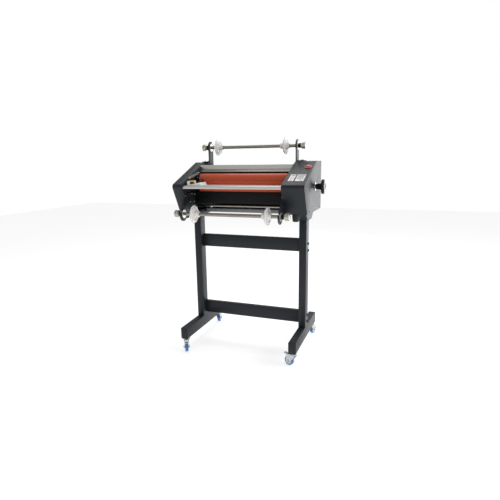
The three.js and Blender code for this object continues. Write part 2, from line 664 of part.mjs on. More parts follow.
const SLEEVE = [CLEAR_LEFT + ROLLER.leftGap, CLEAR_RIGHT - ROLLER.rightGap];
const blockX = {
  left: [plateFaces.left[0] - 1 - BLOCK.thickness, plateFaces.left[0] - 1],
  right: [plateFaces.right[1] + 1, plateFaces.right[1] + 1 + BLOCK.thickness],
};
const JOURNAL_END = { left: blockX.left[0] - 2, right: blockX.right[1] + 2 };
const GEAR_X = [JOURNAL_END.right, JOURNAL_END.right + GEAR.width];

function buildRoller(rightEnd) {
  const { radius, journalRadius, chamfer } = ROLLER;
  const [left, right] = SLEEVE;
  return turned([
    [JOURNAL_END.left, 0], [JOURNAL_END.left, journalRadius],
    [left, journalRadius], [left, radius - chamfer],
    [left + chamfer, radius], [right - chamfer, radius], [right, radius - chamfer], [right, journalRadius],
    [rightEnd, journalRadius], [rightEnd, 0],
  ], FINE_STEPS);
}

// A spur gear about the X axis, with straight-sided teeth: the first tooth points along `first`.
function buildGear(teeth, x0, x1, first) {
  const pitch = (GEAR.module * teeth) / 2;
  const [root, tip] = [pitch - 1.25 * GEAR.module, pitch + GEAR.module];
  const shape = new THREE.Shape();
  const quarter = Math.PI / teeth / 2;
  const slack = GEAR.backlash / pitch;
  const widths = [[root, 1.5], [tip, 0.45]];
  for (let tooth = 0; tooth < teeth; tooth++) {
    const middle = first + (tooth / teeth) * 2 * Math.PI;
    const flank = (sign) => widths.map(([r, share]) => [r, middle + sign * (quarter * share - slack)]);
    for (const [r, angle] of [...flank(-1), ...flank(1).reverse()]) {
      const started = tooth > 0 || shape.curves.length > 0 || shape.currentPoint.lengthSq() > 0;
      const go = started ? "lineTo" : "moveTo";
      shape[go](r * Math.cos(angle), r * Math.sin(angle));
    }
  }
  shape.closePath();
  return slabX(shape, x0, x1);
}

const meshAngle = GEAR.meshAngle * DEG;
const CENTRES = (GEAR.module * (GEAR.rollerTeeth + GEAR.pinionTeeth)) / 2 + 0.2;
const PINION = { y: ROLLER.y + CENTRES * Math.cos(meshAngle), z: LOWER_Z + CENTRES * Math.sin(meshAngle) };

const lowerRoller = pivot(model, 0, ROLLER.y, LOWER_Z);
const lowerSolid = join(buildRoller(GEAR_X[1] + 3), buildGear(GEAR.rollerTeeth, ...GEAR_X, meshAngle));
add(lowerRoller, "lower_roller", lowerSolid, MATERIAL.silicone);
const upperRoller = pivot(model, 0, ROLLER.y, UPPER_Z);
add(upperRoller, "upper_roller", buildRoller(JOURNAL_END.right), MATERIAL.silicone);

// A gap faces the roller gear's tooth where the two meet.
const pinion = pivot(model, 0, PINION.y, PINION.z);
const pinionSolid = join(
  buildGear(GEAR.pinionTeeth, ...GEAR_X, meshAngle + Math.PI + Math.PI / GEAR.pinionTeeth),
  rod(MOTOR.shaftRadius, GEAR_X[0] - 2, GEAR_X[1] + 8, 16),
);
add(pinion, "drive_pinion", pinionSolid, MATERIAL.steel);

// Gearbox and motor in line, on three standoffs from the right side plate.
function buildGearMotor() {
  const start = GEAR_X[1] + 2;
  const { gearboxRadius, gearboxLength, canRadius, canLength, standoffRadius, shaftRadius } = MOTOR;
  const bodyProfile = [
    [start, 0], [start, gearboxRadius],
    [start + gearboxLength, gearboxRadius], [start + gearboxLength, canRadius],
    [start + gearboxLength + canLength, canRadius], [start + gearboxLength + canLength, 0],
  ];
  const standoffs = [0, -60, -120].map((angle) => {
    const reach = gearboxRadius - standoffRadius - 1;
    const [y, z] = [reach * Math.cos(angle * DEG), reach * Math.sin(angle * DEG)];
    return rodX(standoffRadius, plateFaces.right[1] + GAP, start + 1, y, z, 12);
  });
  const shaftHole = rod(shaftRadius + RUN, start - 1, start + 10, 16);
  const motor = cut(join(turned(bodyProfile, FINE_STEPS), ...standoffs), shaftHole);
  return motor.translate([0, PINION.y, PINION.z]);
}
add(model, "gear_motor", buildGearMotor(), MATERIAL.steel);

// ---------------------------------------------------------------- nip pressure

// Each block carries one upper journal and rests on a cam through its rear foot.
function buildBearingBlock([x0, x1]) {
  const half = ROLLER.journalRadius + BLOCK.wall;
  const foot = CAM_AT.z + CAM.radius + GAP;
  const [footFront, footBack] = [CAM_AT.y - BLOCK.footDepth / 2, CAM_AT.y + BLOCK.footDepth / 2];
  const corners = [
    [ROLLER.y - half, UPPER_Z - BLOCK.below, 3], [footFront - 4, UPPER_Z - BLOCK.below, 0],
    [footFront, foot, 0],
    [footBack, foot, 2], [footBack, foot + BLOCK.footHeight, 5],
    [ROLLER.y + half, UPPER_Z + half, 5], [ROLLER.y - half, UPPER_Z + half, 5],
  ];
  const bore = rodX(ROLLER.journalRadius + RUN, x0 - 1, x1 + 1, ROLLER.y, UPPER_Z);
  return cut(slabX(rounded(corners), x0, x1, 2), bore);
}
add(model, "left_bearing_block", buildBearingBlock(blockX.left), MATERIAL.steel);
add(model, "right_bearing_block", buildBearingBlock(blockX.right), MATERIAL.steel);

// The cam's outline is an involute, so the flat foot rises evenly as the shaft turns.
function buildCam([x0, x1]) {
  const points = [];
  const steps = 20;
  const over = 12 * DEG;
  for (let i = 0; i <= steps; i++) {
    const turn = -over + (i / steps) * (Math.PI + 2 * over);
    const facing = Math.PI / 2 - turn;
    const reach = CAM.radius + LIFT_PER_RADIAN * turn;
    const out = new THREE.Vector2(Math.cos(facing), Math.sin(facing)).multiplyScalar(reach);
    const aside = new THREE.Vector2(Math.sin(facing), -Math.cos(facing)).multiplyScalar(LIFT_PER_RADIAN);
    points.push(out.add(aside));
  }
  const middle = (x0 + x1) / 2;
  return slabX(new THREE.Shape(points.reverse()), middle - CAM.width / 2, middle + CAM.width / 2);
}

const pressure = pivot(model, 0, CAM_AT.y, CAM_AT.z);
const HANDWHEEL_X = RIGHT_OUTSIDE + HANDWHEEL.out;
const shaftEnd = HANDWHEEL_X - 2;
const pressureSolid = join(
  rod(CAM.shaftRadius, blockX.left[0] - 4, shaftEnd, 20), buildCam(blockX.left), buildCam(blockX.right),
);
add(pressure, "pressure_shaft", pressureSolid, MATERIAL.steel);

// A three-lobed wheel with a long hub.
function buildHandwheel() {
  const { radius, lobe, hubRadius, thickness, hubLength } = HANDWHEEL;
  const back = HANDWHEEL_X - thickness / 2;
  const lobes = [0, 120, 240].map((angle) => {
    const [y, z] = [(radius - lobe) * Math.cos(angle * DEG), (radius - lobe) * Math.sin(angle * DEG)];
    return rodX(lobe, back, back + thickness, y, z);
  });
  const web = turned([
    [back - hubLength + thickness, 0], [back - hubLength + thickness, hubRadius - 2], [back - 4, hubRadius],
    [back, radius - lobe + 3], [back + thickness, radius - lobe + 3], [back + thickness, 0],
  ]);
  const bore = rod(CAM.shaftRadius + GAP, back - hubLength, shaftEnd + GAP, 20);
  return cut(join(web, ...lobes), bore);
}
add(pressure, "pressure_handwheel", buildHandwheel(), MATERIAL.black);

// ---------------------------------------------------------------- film brackets, shafts, chucks and knobs

// A hook with its mouth turned up and back, round the origin.
function hookCut(x0, x1, angle) {
  const bore = FILM_SHAFT.threadRadius + RUN;
  const mouth = box([x0, x1], [-bore, bore], [0, 80]).rotate([-angle, 0, 0]);
  return join(rod(bore, x0, x1), mouth);
}

function buildUpperBracket(x0, outward) {
  const { y, z } = UPPER_FILM_AT;
  const { thickness, width, hookRadius, flange, reachDown } = BRACKET;
  const x1 = x0 + thickness;
  const seat = HOUSING_TOP + GAP;
  const upright = box([x0, x1], [y - width / 2, y + width / 2], [seat - reachDown, z]);
  const head = rodX(hookRadius, x0, x1, y, z, FINE_STEPS);
  const footX = outward < 0 ? [x0 - flange, x0 + 1] : [x1 - 1, x1 + flange];
  const foot = box(footX, [y - width / 2, y + width / 2], [seat, seat + thickness - 1]);
  return cut(join(upright, head, foot), hookCut(x0 - 1, x1 + 1, HOOK_TURN.upper).translate([0, y, z]));
}

function buildLowerBracket(x0) {
  const { y, z } = LOWER_FILM_AT;
  const { thickness, lobe } = BRACKET;
  const x1 = x0 + thickness;
  const back = ROLLER_FRONT - FRONT_PANEL.beforeRoller - 2;
  const top = NIP_Z - FRONT_PANEL.belowNip - 2;
  const arm = rounded([
    [y + lobe * 0.82, z - lobe * 0.55, 0], [back - 8, top - 72, 6],
    [back, top, 8], [back - 90, top, 14], [y - lobe * 0.9, z + lobe * 0.4, 0],
  ]);
  return cut(
    join(slabX(arm, x0, x1, 2), rodX(lobe, x0, x1, y, z, FINE_STEPS)),
    hookCut(x0 - 1, x1 + 1, HOOK_TURN.lower).translate([0, y, z]),
  );
}

const upperBracketX = {
  left: CLEAR_LEFT + UPPER_BRACKET_INSET.left,
  right: CLEAR_RIGHT - UPPER_BRACKET_INSET.right - BRACKET.thickness,
};
const lowerBracketX = { left: CLEAR_LEFT + GAP, right: CLEAR_RIGHT - GAP - BRACKET.thickness };
add(model, "upper_left_bracket", buildUpperBracket(upperBracketX.left, -1), MATERIAL.paint);
add(model, "upper_right_bracket", buildUpperBracket(upperBracketX.right, 1), MATERIAL.paint);
add(model, "lower_left_bracket", buildLowerBracket(lowerBracketX.left), MATERIAL.paint);
add(model, "lower_right_bracket", buildLowerBracket(lowerBracketX.right), MATERIAL.paint);

// Shaft along X, thinner where it lies in the hooks, with a washer collar inside each bracket.
function buildFilmShaft(leftBracket, rightBracket) {
  const { radius, threadRadius, washerRadius, washer } = FILM_SHAFT;
  const inside = { left: leftBracket + BRACKET.thickness + RUN, right: rightBracket - RUN };
  const thread = SPRING_ROOM + KNOB.length - 5;
  const ends = { left: leftBracket - thread, right: rightBracket + BRACKET.thickness + thread };
  return turned([
    [ends.left, 0], [ends.left, threadRadius], [inside.left, threadRadius], [inside.left, washerRadius],
    [inside.left + washer, washerRadius], [inside.left + washer, radius], [inside.right - washer, radius],
    [inside.right - washer, washerRadius], [inside.right, washerRadius], [inside.right, threadRadius],
    [ends.right, threadRadius], [ends.right, 0],
  ]);
}

// A core chuck: a clamping hub towards the middle, the drum that fills the core, a flange and a cone.
function buildChuck(outward) {
  const { flangeRadius, drumRadius, hubRadius, hub } = CHUCK;
  const bore = FILM_SHAFT.radius + RUN;
  const profile = [
    [-hub, bore], [-hub, hubRadius], [-7, hubRadius + 1], [-6, drumRadius - 1.5],
    [0, drumRadius], [1, flangeRadius - 1],
    [2, flangeRadius], [6, flangeRadius], [7, flangeRadius - 1],
    [9, 22], [hub - 1, 13], [hub - 1, bore], [-hub, bore],
  ];
  const chuck = turned(profile, 22);
  return outward < 0 ? chuck.mirror([1, 0, 0]) : chuck;
}

function buildKnob() {
  const { radius, length, flutes, flute } = KNOB;
  const shape = new THREE.Shape();
  for (let i = 0; i < flutes * 2; i++) {
    const angle = (i / (flutes * 2)) * 2 * Math.PI;
    const r = i % 2 ? radius - flute : radius;
    shape[i ? "lineTo" : "moveTo"](r * Math.cos(angle), r * Math.sin(angle));
  }
  shape.closePath();
  const body = join(slabX(shape, 0, length - 2), rod(radius - 3, length - 3, length));
  return cut(body, rod(FILM_SHAFT.threadRadius + GAP, -1, length - 4, 20));
}

function buildFilmStation(level, at, brackets) {
  const spin = pivot(model, 0, at.y, at.z);
  add(spin, `${level}_film_shaft`, buildFilmShaft(brackets.left, brackets.right), MATERIAL.steel);
  for (const [side, sign] of Object.entries(sides)) {
    const end = sign < 0 ? CLEAR_LEFT + CHUCK.fromEnd : CLEAR_RIGHT - CHUCK.fromEnd;
    add(pivot(spin, end, 0, 0), `${level}_${side}_chuck`, buildChuck(sign), MATERIAL.white);
    const face = sign < 0 ? brackets.left - SPRING_ROOM : brackets.right + BRACKET.thickness + SPRING_ROOM;
    const knob = sign < 0 ? buildKnob().mirror([1, 0, 0]) : buildKnob();
    add(pivot(spin, face, 0, 0), `${level}_${side}_brake_knob`, knob, MATERIAL.nickel);
  }
}
buildFilmStation("upper", UPPER_FILM_AT, upperBracketX);
buildFilmStation("lower", LOWER_FILM_AT, lowerBracketX);

// ---------------------------------------------------------------- operator's slope

function buildControlPanel() {
  const { width, length, thickness } = PANEL;
  const [w, l] = [width / 2, length / 2];
  const label = slabZ(rounded([[-w, -l, 4], [w, -l, 4], [w, l, 4], [-w, l, 4]]), GAP, GAP + thickness, 2);
  return onSlope(label, RIGHT_OUTSIDE - PANEL.fromOutside, PANEL.upSlope);
}
add(model, "control_panel", buildControlPanel(), MATERIAL.white);

function buildEstop() {
  const { radius, height, stem } = ESTOP;
  const profile = [
    [-stem, 0], [-stem, radius - 1], [1 - stem, radius], [height - 4, radius],
    [height - 1.5, radius - 1.5], [height - 0.5, radius - 4], [height, 0],
  ];
  return onSlope(turned(profile).rotate([0, -90, 0]), ESTOP_X, ESTOP.upSlope);
}
add(model, "estop_button", buildEstop(), MATERIAL.red);

// ---------------------------------------------------------------- origin at the bottom centre

model.updateMatrixWorld(true);
const whole = new THREE.Box3().setFromObject(model, true);
model.position.set(-(whole.min.x + whole.max.x) / 2, -(whole.min.y + whole.max.y) / 2, -whole.min.z);

export default model;
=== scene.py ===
# %% [markdown]
# # A cold roll laminator on its castered stand
#
# The machine is two sheet-metal housings with rollers, bars and film shafts between them, on a
# T-leg stand of steel tube. Everything that has a size, a place or a joint is already in the frame
# that the first cell loads. This lesson makes what you see of it: the finishes, the rounded edges,
# and the small hardware such as bolts, springs, knobs and keys.
#
# Two ideas run through it. A piece that is folded, sawn or cut from plate keeps its own shape and
# only gets softer edges, so it starts as a copy of the frame's solid. A piece that is turned,
# moulded or wound is modelled again from a primitive, because there a finer surface shows.

# %% Load the frame
import json
import math

import bpy
from mathutils import Matrix, Vector


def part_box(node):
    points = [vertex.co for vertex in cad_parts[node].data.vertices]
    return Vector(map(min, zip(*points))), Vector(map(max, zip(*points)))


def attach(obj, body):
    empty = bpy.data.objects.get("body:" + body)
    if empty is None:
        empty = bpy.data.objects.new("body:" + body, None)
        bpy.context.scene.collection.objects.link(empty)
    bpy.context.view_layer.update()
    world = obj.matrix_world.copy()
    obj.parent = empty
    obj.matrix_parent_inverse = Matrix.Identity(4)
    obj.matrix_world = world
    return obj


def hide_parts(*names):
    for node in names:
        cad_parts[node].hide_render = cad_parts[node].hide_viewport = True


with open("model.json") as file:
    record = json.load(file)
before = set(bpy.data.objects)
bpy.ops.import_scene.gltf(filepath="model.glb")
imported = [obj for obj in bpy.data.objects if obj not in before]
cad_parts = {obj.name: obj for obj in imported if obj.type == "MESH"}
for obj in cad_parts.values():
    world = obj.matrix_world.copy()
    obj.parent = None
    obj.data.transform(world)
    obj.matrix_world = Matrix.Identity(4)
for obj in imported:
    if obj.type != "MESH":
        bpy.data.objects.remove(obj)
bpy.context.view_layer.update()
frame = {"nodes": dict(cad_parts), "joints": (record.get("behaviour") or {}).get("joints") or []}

MM = 0.001

# %% [markdown]
# ## The camera and the studio
#
# A product picture of a machine this size is taken from about two metres, a little above the table
# and from the operator's right, so both the controls and the film path show. The lens is a little
# wide, which is why the legs draw together towards the floor.
#
# The studio is a white sweep: a pale floor, a white surround that lights everything softly, and
# three large lamps. The right one is the strongest, so surfaces that face right are lighter than
# those that face the operator. That difference is what makes dark paint readable.

# %% Camera
CAMERA_PLACE = Vector((0.7835, -2.1687, 1.033))
CAMERA_TURN = math.radians(20.45)      # towards the machine's left
CAMERA_TILT = math.radians(-11.92)     # down
CAMERA_ROLL = math.radians(-0.86)
CAMERA_LENS = 30.57                    # mm, on a 36 mm sensor

camera_data = bpy.data.cameras.new("studio_camera")
camera_data.lens = CAMERA_LENS
camera_data.sensor_width = 36
camera = bpy.data.objects.new("studio_camera", camera_data)
bpy.context.scene.collection.objects.link(camera)
turn = Matrix.Rotation(CAMERA_TURN, 4, "Z")
tilt = Matrix.Rotation(math.radians(90) + CAMERA_TILT, 4, "X")
roll = Matrix.Rotation(CAMERA_ROLL, 4, "Z")
camera.matrix_world = Matrix.Translation(CAMERA_PLACE) @ turn @ tilt @ roll
bpy.context.scene.camera = camera
bpy.context.scene.view_settings.view_transform = "Standard"
print("camera at", [round(v, 3) for v in camera.location])

# %% [markdown]
# An operator works on whatever is selected, so every step below starts by selecting one object.

# %% Helpers for working on one object at a time
def only(obj):
    """Selects obj alone and makes it the active one, so that an operator changes nothing else."""
    bpy.ops.object.select_all(action="DESELECT")
    obj.select_set(True)
    bpy.context.view_layer.objects.active = obj
    return obj


def started(name):
    """Names the primitive that was just added."""
    obj = bpy.context.object
    obj.name = name
    obj.data.name = name
    return only(obj)


def put(obj, place=(0, 0, 0), turn=(0, 0, 0)):
    """Turns obj (degrees about X, Y and Z) and moves it (metres), and applies both to its mesh."""
    only(obj)
    obj.rotation_euler = [math.radians(v) for v in turn]
    obj.location = place
    bpy.ops.object.transform_apply(location=True, rotation=True, scale=True)
    return obj


def apply_modifier(obj, kind, **settings):
    """Adds one modifier with its settings and applies it to the mesh."""
    only(obj)
    modifier = obj.modifiers.new(kind.lower(), kind)
    for name, value in settings.items():
        setattr(modifier, name, value)
    bpy.ops.object.modifier_apply(modifier=modifier.name)
    return obj


def faces_where(obj, test):
    """In edit mode, selects the faces whose centre and normal pass the test."""
    bpy.ops.object.mode_set(mode="EDIT")
    bpy.ops.mesh.select_mode(type="FACE")
    bpy.ops.mesh.select_all(action="DESELECT")
    bpy.ops.object.mode_set(mode="OBJECT")
    chosen = 0
    for face in obj.data.polygons:
        face.select = bool(test(face.center, face.normal))
        chosen += face.select
    bpy.ops.object.mode_set(mode="EDIT")
    return chosen


def object_mode():
    bpy.ops.object.mode_set(mode="OBJECT")


# %% [markdown]
# The floor is staged, so it isn't part of the machine. The camera sees the surround as plain white,
# whatever light the surround gives.

# %% The floor, the surround and the lamps
bpy.ops.mesh.primitive_plane_add(size=14, location=(0, 0, 0))
floor = started("studio_floor")

SURROUND_LIGHT = 0.50         # what the surround gives the object. The camera sees it as plain white.
world = bpy.data.worlds.new("white_surround")
bpy.context.scene.world = world
world.use_nodes = True
background = world.node_tree.nodes["Background"]
background.inputs["Color"].default_value = (1, 1, 1, 1)
seen = world.node_tree.nodes.new("ShaderNodeLightPath")
brightness = world.node_tree.nodes.new("ShaderNodeMapRange")
brightness.inputs["To Min"].default_value = SURROUND_LIGHT
brightness.inputs["To Max"].default_value = 1.0
world.node_tree.links.new(seen.outputs["Is Camera Ray"], brightness.inputs["Value"])
world.node_tree.links.new(brightness.outputs["Result"], background.inputs["Strength"])

LAMPS = {                      # place, size in metres, power in watts
    "right_softbox": ((3.2, 0.2, 1.6), 2.2, 46),
    "back_right_softbox": ((1.7, 3.0, 0.9), 2.2, 38),
    "top_softbox": ((-0.2, 1.0, 2.8), 1.75, 20),
}
for name, (place, size, power) in LAMPS.items():
    lamp_data = bpy.data.lights.new(name, "AREA")
    lamp_data.size = size
    lamp_data.energy = power
    lamp = bpy.data.objects.new(name, lamp_data)
    lamp.location = place
    lamp.visible_camera = False
    aim = Vector((0, 0, 0.8)) - Vector(place)
    lamp.rotation_euler = aim.to_track_quat("-Z", "Y").to_euler()
    bpy.context.scene.collection.objects.link(lamp)
print("lamps:", ", ".join(LAMPS))

# %% [markdown]
# ## Finishes
#
# A finish is a colour, a gloss and a surface. The colour is written as the hex value a painter
# would quote and turned into the linear light that the shader works in. The surface comes from the
# way it was made: powder coat has a fine orange peel, drawn aluminium has lines along the bar, a
# ground rubber roller has fine rings round it. Each pattern is sized in millimetres. A grain
# finer than about half a millimetre can't show at this distance, so the finest patterns are drawn
# a little coarser than they are.

# %% Colour and node helpers
def linear(hex_colour):
    """An sRGB hex colour as linear red, green, blue and alpha."""
    channels = [int(hex_colour[i:i + 2], 16) / 255 for i in (1, 3, 5)]
    return [c / 12.92 if c <= 0.04045 else ((c + 0.055) / 1.055) ** 2.4 for c in channels] + [1]


def per(millimetres):
    """The texture scale that makes one feature this many millimetres wide."""
    return 1000 / millimetres


def add(material, kind, inputs=None, **settings):
    """Adds a node: settings are its own choices, inputs its sockets, as numbers or other outputs."""
    tree = material.node_tree
    made = tree.nodes.new(kind)
    for name, value in settings.items():
        setattr(made, name, value)
    for name, value in (inputs or {}).items():
        if isinstance(value, bpy.types.NodeSocket):
            tree.links.new(value, made.inputs[name])
        else:
            made.inputs[name].default_value = value
    return made


def blank(name, metallic=0.0, roughness=0.5, **sockets):
    """A new material whose shader has these constant values. Returns it and its shader."""
    material = bpy.data.materials.new(name)
    material.use_nodes = True
    shader = material.node_tree.nodes["Principled BSDF"]
    shader.inputs["Metallic"].default_value = metallic
    shader.inputs["Roughness"].default_value = roughness
    for socket, value in sockets.items():
        shader.inputs[socket.replace("_", " ")].default_value = value
    return material, shader


MIX_FACTOR, MIX_A, MIX_B, MIX_RESULT = 0, 6, 7, 2  # the Mix node's sockets when it mixes colours


def surface(name, colour, other, patch, grain, bump, rough, stretch=(1, 1, 1), **shader_values):
    """The body of most finishes: two close shades in patches, and a grain in gloss and height.

    patch and grain are feature sizes in millimetres, bump the height of the grain in millimetres,
    rough the lowest and highest roughness, and stretch how far the grain is drawn out along each axis."""
    material, shader = blank(name, **shader_values)
    place = add(material, "ShaderNodeTexCoord")
    drawn = add(material, "ShaderNodeMapping", {
        "Vector": place.outputs["Object"], "Scale": [1 / s for s in stretch]})
    patches = add(material, "ShaderNodeTexNoise", {
        "Vector": drawn.outputs["Vector"], "Scale": per(patch), "Detail": 3.0})
    grains = add(material, "ShaderNodeTexNoise", {
        "Vector": drawn.outputs["Vector"], "Scale": per(grain), "Detail": 2.0, "Roughness": 0.6})
    shade = add(material, "ShaderNodeMix", {
        MIX_FACTOR: patches.outputs["Fac"], MIX_A: linear(colour), MIX_B: linear(other)}, data_type="RGBA")
    gloss = add(material, "ShaderNodeMapRange", {
        "Value": grains.outputs["Fac"], "From Min": 0.3, "From Max": 0.7,
        "To Min": rough[0], "To Max": rough[1]})
    height = add(material, "ShaderNodeBump", {
        "Height": grains.outputs["Fac"], "Distance": bump * MM, "Strength": 1.0})
    links = material.node_tree.links
    links.new(shade.outputs[MIX_RESULT], shader.inputs["Base Color"])
    links.new(gloss.outputs["Result"], shader.inputs["Roughness"])
    links.new(height.outputs["Normal"], shader.inputs["Normal"])
    return material, shader, shade


# %% [markdown]
# ### Painted steel
#
# The housings and the stand are mild steel with an anthracite powder coat: polyester powder baked on at 180
# °C. It levels into a fine orange peel with soft, wide highlights. Folds and sawn edges get a painted
# highlight, a lighter colour where they catch the light. The edge is found by a bevel node, which compares
# the real normal with one rounded off by a millimetre and a half.

# %% Powder coats and enamels
def plain(*look, **values):
    """A finish that needs nothing beyond its two shades and its grain."""
    return surface(*look, **values)[0]


def powder_coat(name, colour, other, edge):
    material, shader, shade = surface(
        name, colour, other, patch=60, grain=1.6, bump=0.04, rough=(0.38, 0.50),
        IOR=1.5, Specular_IOR_Level=0.32)
    round_off = add(material, "ShaderNodeBevel", {"Radius": 1.5 * MM}, samples=4)
    true = add(material, "ShaderNodeNewGeometry")
    agree = add(material, "ShaderNodeVectorMath", {
        0: round_off.outputs["Normal"], 1: true.outputs["Normal"]}, operation="DOT_PRODUCT")
    # Painted highlight: where the two normals part, at edges, the colour is mixed towards the lighter edge
    # colour.
    edge_highlight = add(material, "ShaderNodeMapRange", {
        "Value": agree.outputs["Value"], "From Min": 0.97, "From Max": 0.80,
        "To Min": 0.0, "To Max": 0.7})
    lighter = add(material, "ShaderNodeMix", {
        MIX_FACTOR: edge_highlight.outputs["Result"], MIX_A: shade.outputs[MIX_RESULT], MIX_B: linear(edge)},
        data_type="RGBA")
    material.node_tree.links.new(lighter.outputs[MIX_RESULT], shader.inputs["Base Color"])
    return material


# The third colour of each coat is its painted edge highlight.
ANTHRACITE = powder_coat("anthracite_powder_coat", "#1b2026", "#20252b", "#393f46")
PAN_GREY = powder_coat("grey_powder_coat", "#7e8281", "#8a8e8c", "#a3a6a3")
BLACK_ENAMEL = plain(
    "black_stove_enamel", "#0a0b0d", "#0f1012", patch=80, grain=2.5, bump=0.02, rough=(0.45, 0.55),
    IOR=1.5, Specular_IOR_Level=0.2)
WHITE_ENAMEL = plain(
    "white_stove_enamel", "#e9e8e4", "#f2f1ee", patch=50, grain=2.5, bump=0.02, rough=(0.28, 0.38), IOR=1.5)

# %% [markdown]
# ### Bright metals
#
# The bars are drawn aluminium, etched and clear-anodised: satin, with faint lines along the bar.
# The knobs have the same film in a pale champagne. The film shafts and the idler are ground steel
# with a nickel plate, which mirrors more and shows fine rings from the grinding wheel. Caster
# forks are pressed steel with bright zinc, which is mottled in patches of a few millimetres.

# %% Aluminium, steel and zinc
SILVER_ANODISED = plain(
    "silver_anodised_aluminium", "#cfcfca", "#dadad5", patch=30, grain=1.2, bump=0.012,
    rough=(0.34, 0.46), stretch=(60, 1, 1), metallic=1.0)
CHAMPAGNE_ANODISED = plain(
    "champagne_anodised_aluminium", "#c9c4b6", "#d7d3c7", patch=12, grain=0.8, bump=0.01,
    rough=(0.28, 0.40), metallic=1.0)
# Painted reflection: the lip's darker bronze-grey stands in for the dark surroundings that it mirrors.
LIP_PAINTED_REFLECTION = plain(
    "bronze_grey_anodised_lip", "#8f8a83", "#9c978f", patch=30, grain=1.2, bump=0.012,
    rough=(0.38, 0.50), stretch=(60, 1, 1), metallic=1.0)
BRIGHT_STEEL = plain(
    "nickel_plated_ground_steel", "#8f8a83", "#9d9890", patch=40, grain=0.7, bump=0.004,
    rough=(0.18, 0.28), stretch=(1, 8, 8), metallic=1.0)
ZINC = plain(
    "bright_zinc_plate", "#b4b8bb", "#d3d5d6", patch=5, grain=1.5, bump=0.02,
    rough=(0.24, 0.40), metallic=1.0)
SPRING_STEEL = plain(
    "blackened_spring_steel", "#141416", "#222224", patch=8, grain=0.8, bump=0.02,
    rough=(0.35, 0.5), metallic=0.6)

# %% [markdown]
# ### Rubber and plastics
#
# The rollers are steel cores with a jacket of silicone rubber, ground to size after it is cured.
# That leaves a satin skin with rings under a millimetre apart and no shine to speak of. The core
# chucks are moulded in white ABS, the handwheel and screws in black. The caster tyres are cast
# polyurethane, which is slightly clear, so the blue has some depth under the surface.

# %% Rubber and plastic finishes
SILICONE = plain(
    "orange_silicone_rubber", "#cc5433", "#d25b38", patch=45, grain=0.9, bump=0.015,
    rough=(0.30, 0.40), stretch=(1, 10, 10), IOR=1.41, Specular_IOR_Level=0.45)
WHITE_ABS = plain(
    "white_moulded_abs", "#e4e2df", "#efedea", patch=20, grain=1.0, bump=0.015,
    rough=(0.36, 0.46), IOR=1.5)
BLACK_GLOSS = plain(
    "black_polished_phenolic", "#08080a", "#0d0d0f", patch=15, grain=1.5, bump=0.005,
    rough=(0.12, 0.2), IOR=1.54)
BLACK_ABS = plain(
    "black_moulded_abs", "#0f0f11", "#18181a", patch=15, grain=0.9, bump=0.04, rough=(0.38, 0.52), IOR=1.54)
RED_NYLON = plain(
    "red_moulded_nylon", "#c4211b", "#cf2a20", patch=10, grain=1.2, bump=0.008,
    rough=(0.22, 0.32), IOR=1.53, Coat_Weight=0.3, Coat_Roughness=0.15)
YELLOW_ABS = plain(
    "amber_moulded_abs", "#e0a12c", "#e9ac38", patch=10, grain=1.2, bump=0.01, rough=(0.32, 0.42), IOR=1.54)
# Partly a painted highlight: this salmon stands in for red plastic where the bezel's rim catches the light.
BEZEL_PAINTED_HIGHLIGHT = plain(
    "salmon_moulded_abs", "#c8735a", "#d18468", patch=10, grain=1.2, bump=0.01, rough=(0.34, 0.44), IOR=1.54)
BLUE_TYRE = plain(
    "blue_cast_polyurethane", "#3f6fa8", "#4d7db5", patch=8, grain=1.0, bump=0.02,
    rough=(0.30, 0.42), IOR=1.5, Subsurface_Weight=0.1, Subsurface_Radius=(0.002, 0.003, 0.005))
WHITE_NYLON = plain(
    "white_moulded_nylon", "#d4d8dc", "#e2e5e8", patch=8, grain=1.0, bump=0.02, rough=(0.36, 0.46), IOR=1.53)
BLACK_RUBBER = plain(
    "black_moulded_rubber", "#0c0c0d", "#151516", patch=10, grain=0.8, bump=0.08,
    rough=(0.55, 0.72), IOR=1.52)

# %% [markdown]
# ### Print and paper-thin things
#
# The control panel is a membrane keypad: polyester film, printed on its back and embossed over
# each key. The film is very slightly hazy, so it has a soft even gloss.

# %% Printed films and the floor
def printed(name, colour, other):
    return plain(name, colour, other, patch=30, grain=1.4, bump=0.006, rough=(0.30, 0.40), IOR=1.57)


PRINT_WHITE = printed("white_printed_polyester", "#e8e9ec", "#f1f1f3")
PRINT_GREY = printed("grey_printed_polyester", "#8d9095", "#9a9da1")
PRINT_PALE = printed("pale_printed_polyester", "#c9cbd1", "#d2d4d9")
PRINT_SLATE = printed("slate_printed_polyester", "#5d6168", "#686c73")
PRINT_RED = printed("red_printed_polyester", "#c25a52", "#cb665c")

FLOOR_WHITE = plain(
    "studio_floor_paint", "#e8e8e8", "#ececec", patch=900, grain=40, bump=0.05, rough=(0.75, 0.85),
    Specular_IOR_Level=0.2, Emission_Color=(1, 1, 1, 1), Emission_Strength=0.52)
floor.data.materials.append(FLOOR_WHITE)
print("finishes:", len(bpy.data.materials))

# %% [markdown]
# ## Softened edges on folded and sawn parts
#
# The frame's solids have the right shape and perfectly sharp edges, and nothing real is that sharp.
# A folded sheet bends on a radius of about its own thickness, and a sawn tube is dressed with a
# file. So each of these parts is copied, its loose triangles are merged back into flat faces, and a
# bevel rounds every edge by the part's own radius. Working on a copy keeps the frame as it is.

# %% The softening helper
def unhitched(obj, name):
    """A copy with its own mesh, free of any body and finish."""
    copy = obj.copy()
    copy.data = obj.data.copy()
    copy.name = name
    copy.data.name = name
    copy.parent = None
    copy.hide_viewport = copy.hide_render = False
    for key in list(copy.keys()):
        if key.startswith("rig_"):
            del copy[key]
    copy.data.materials.clear()
    bpy.context.scene.collection.objects.link(copy)
    return copy


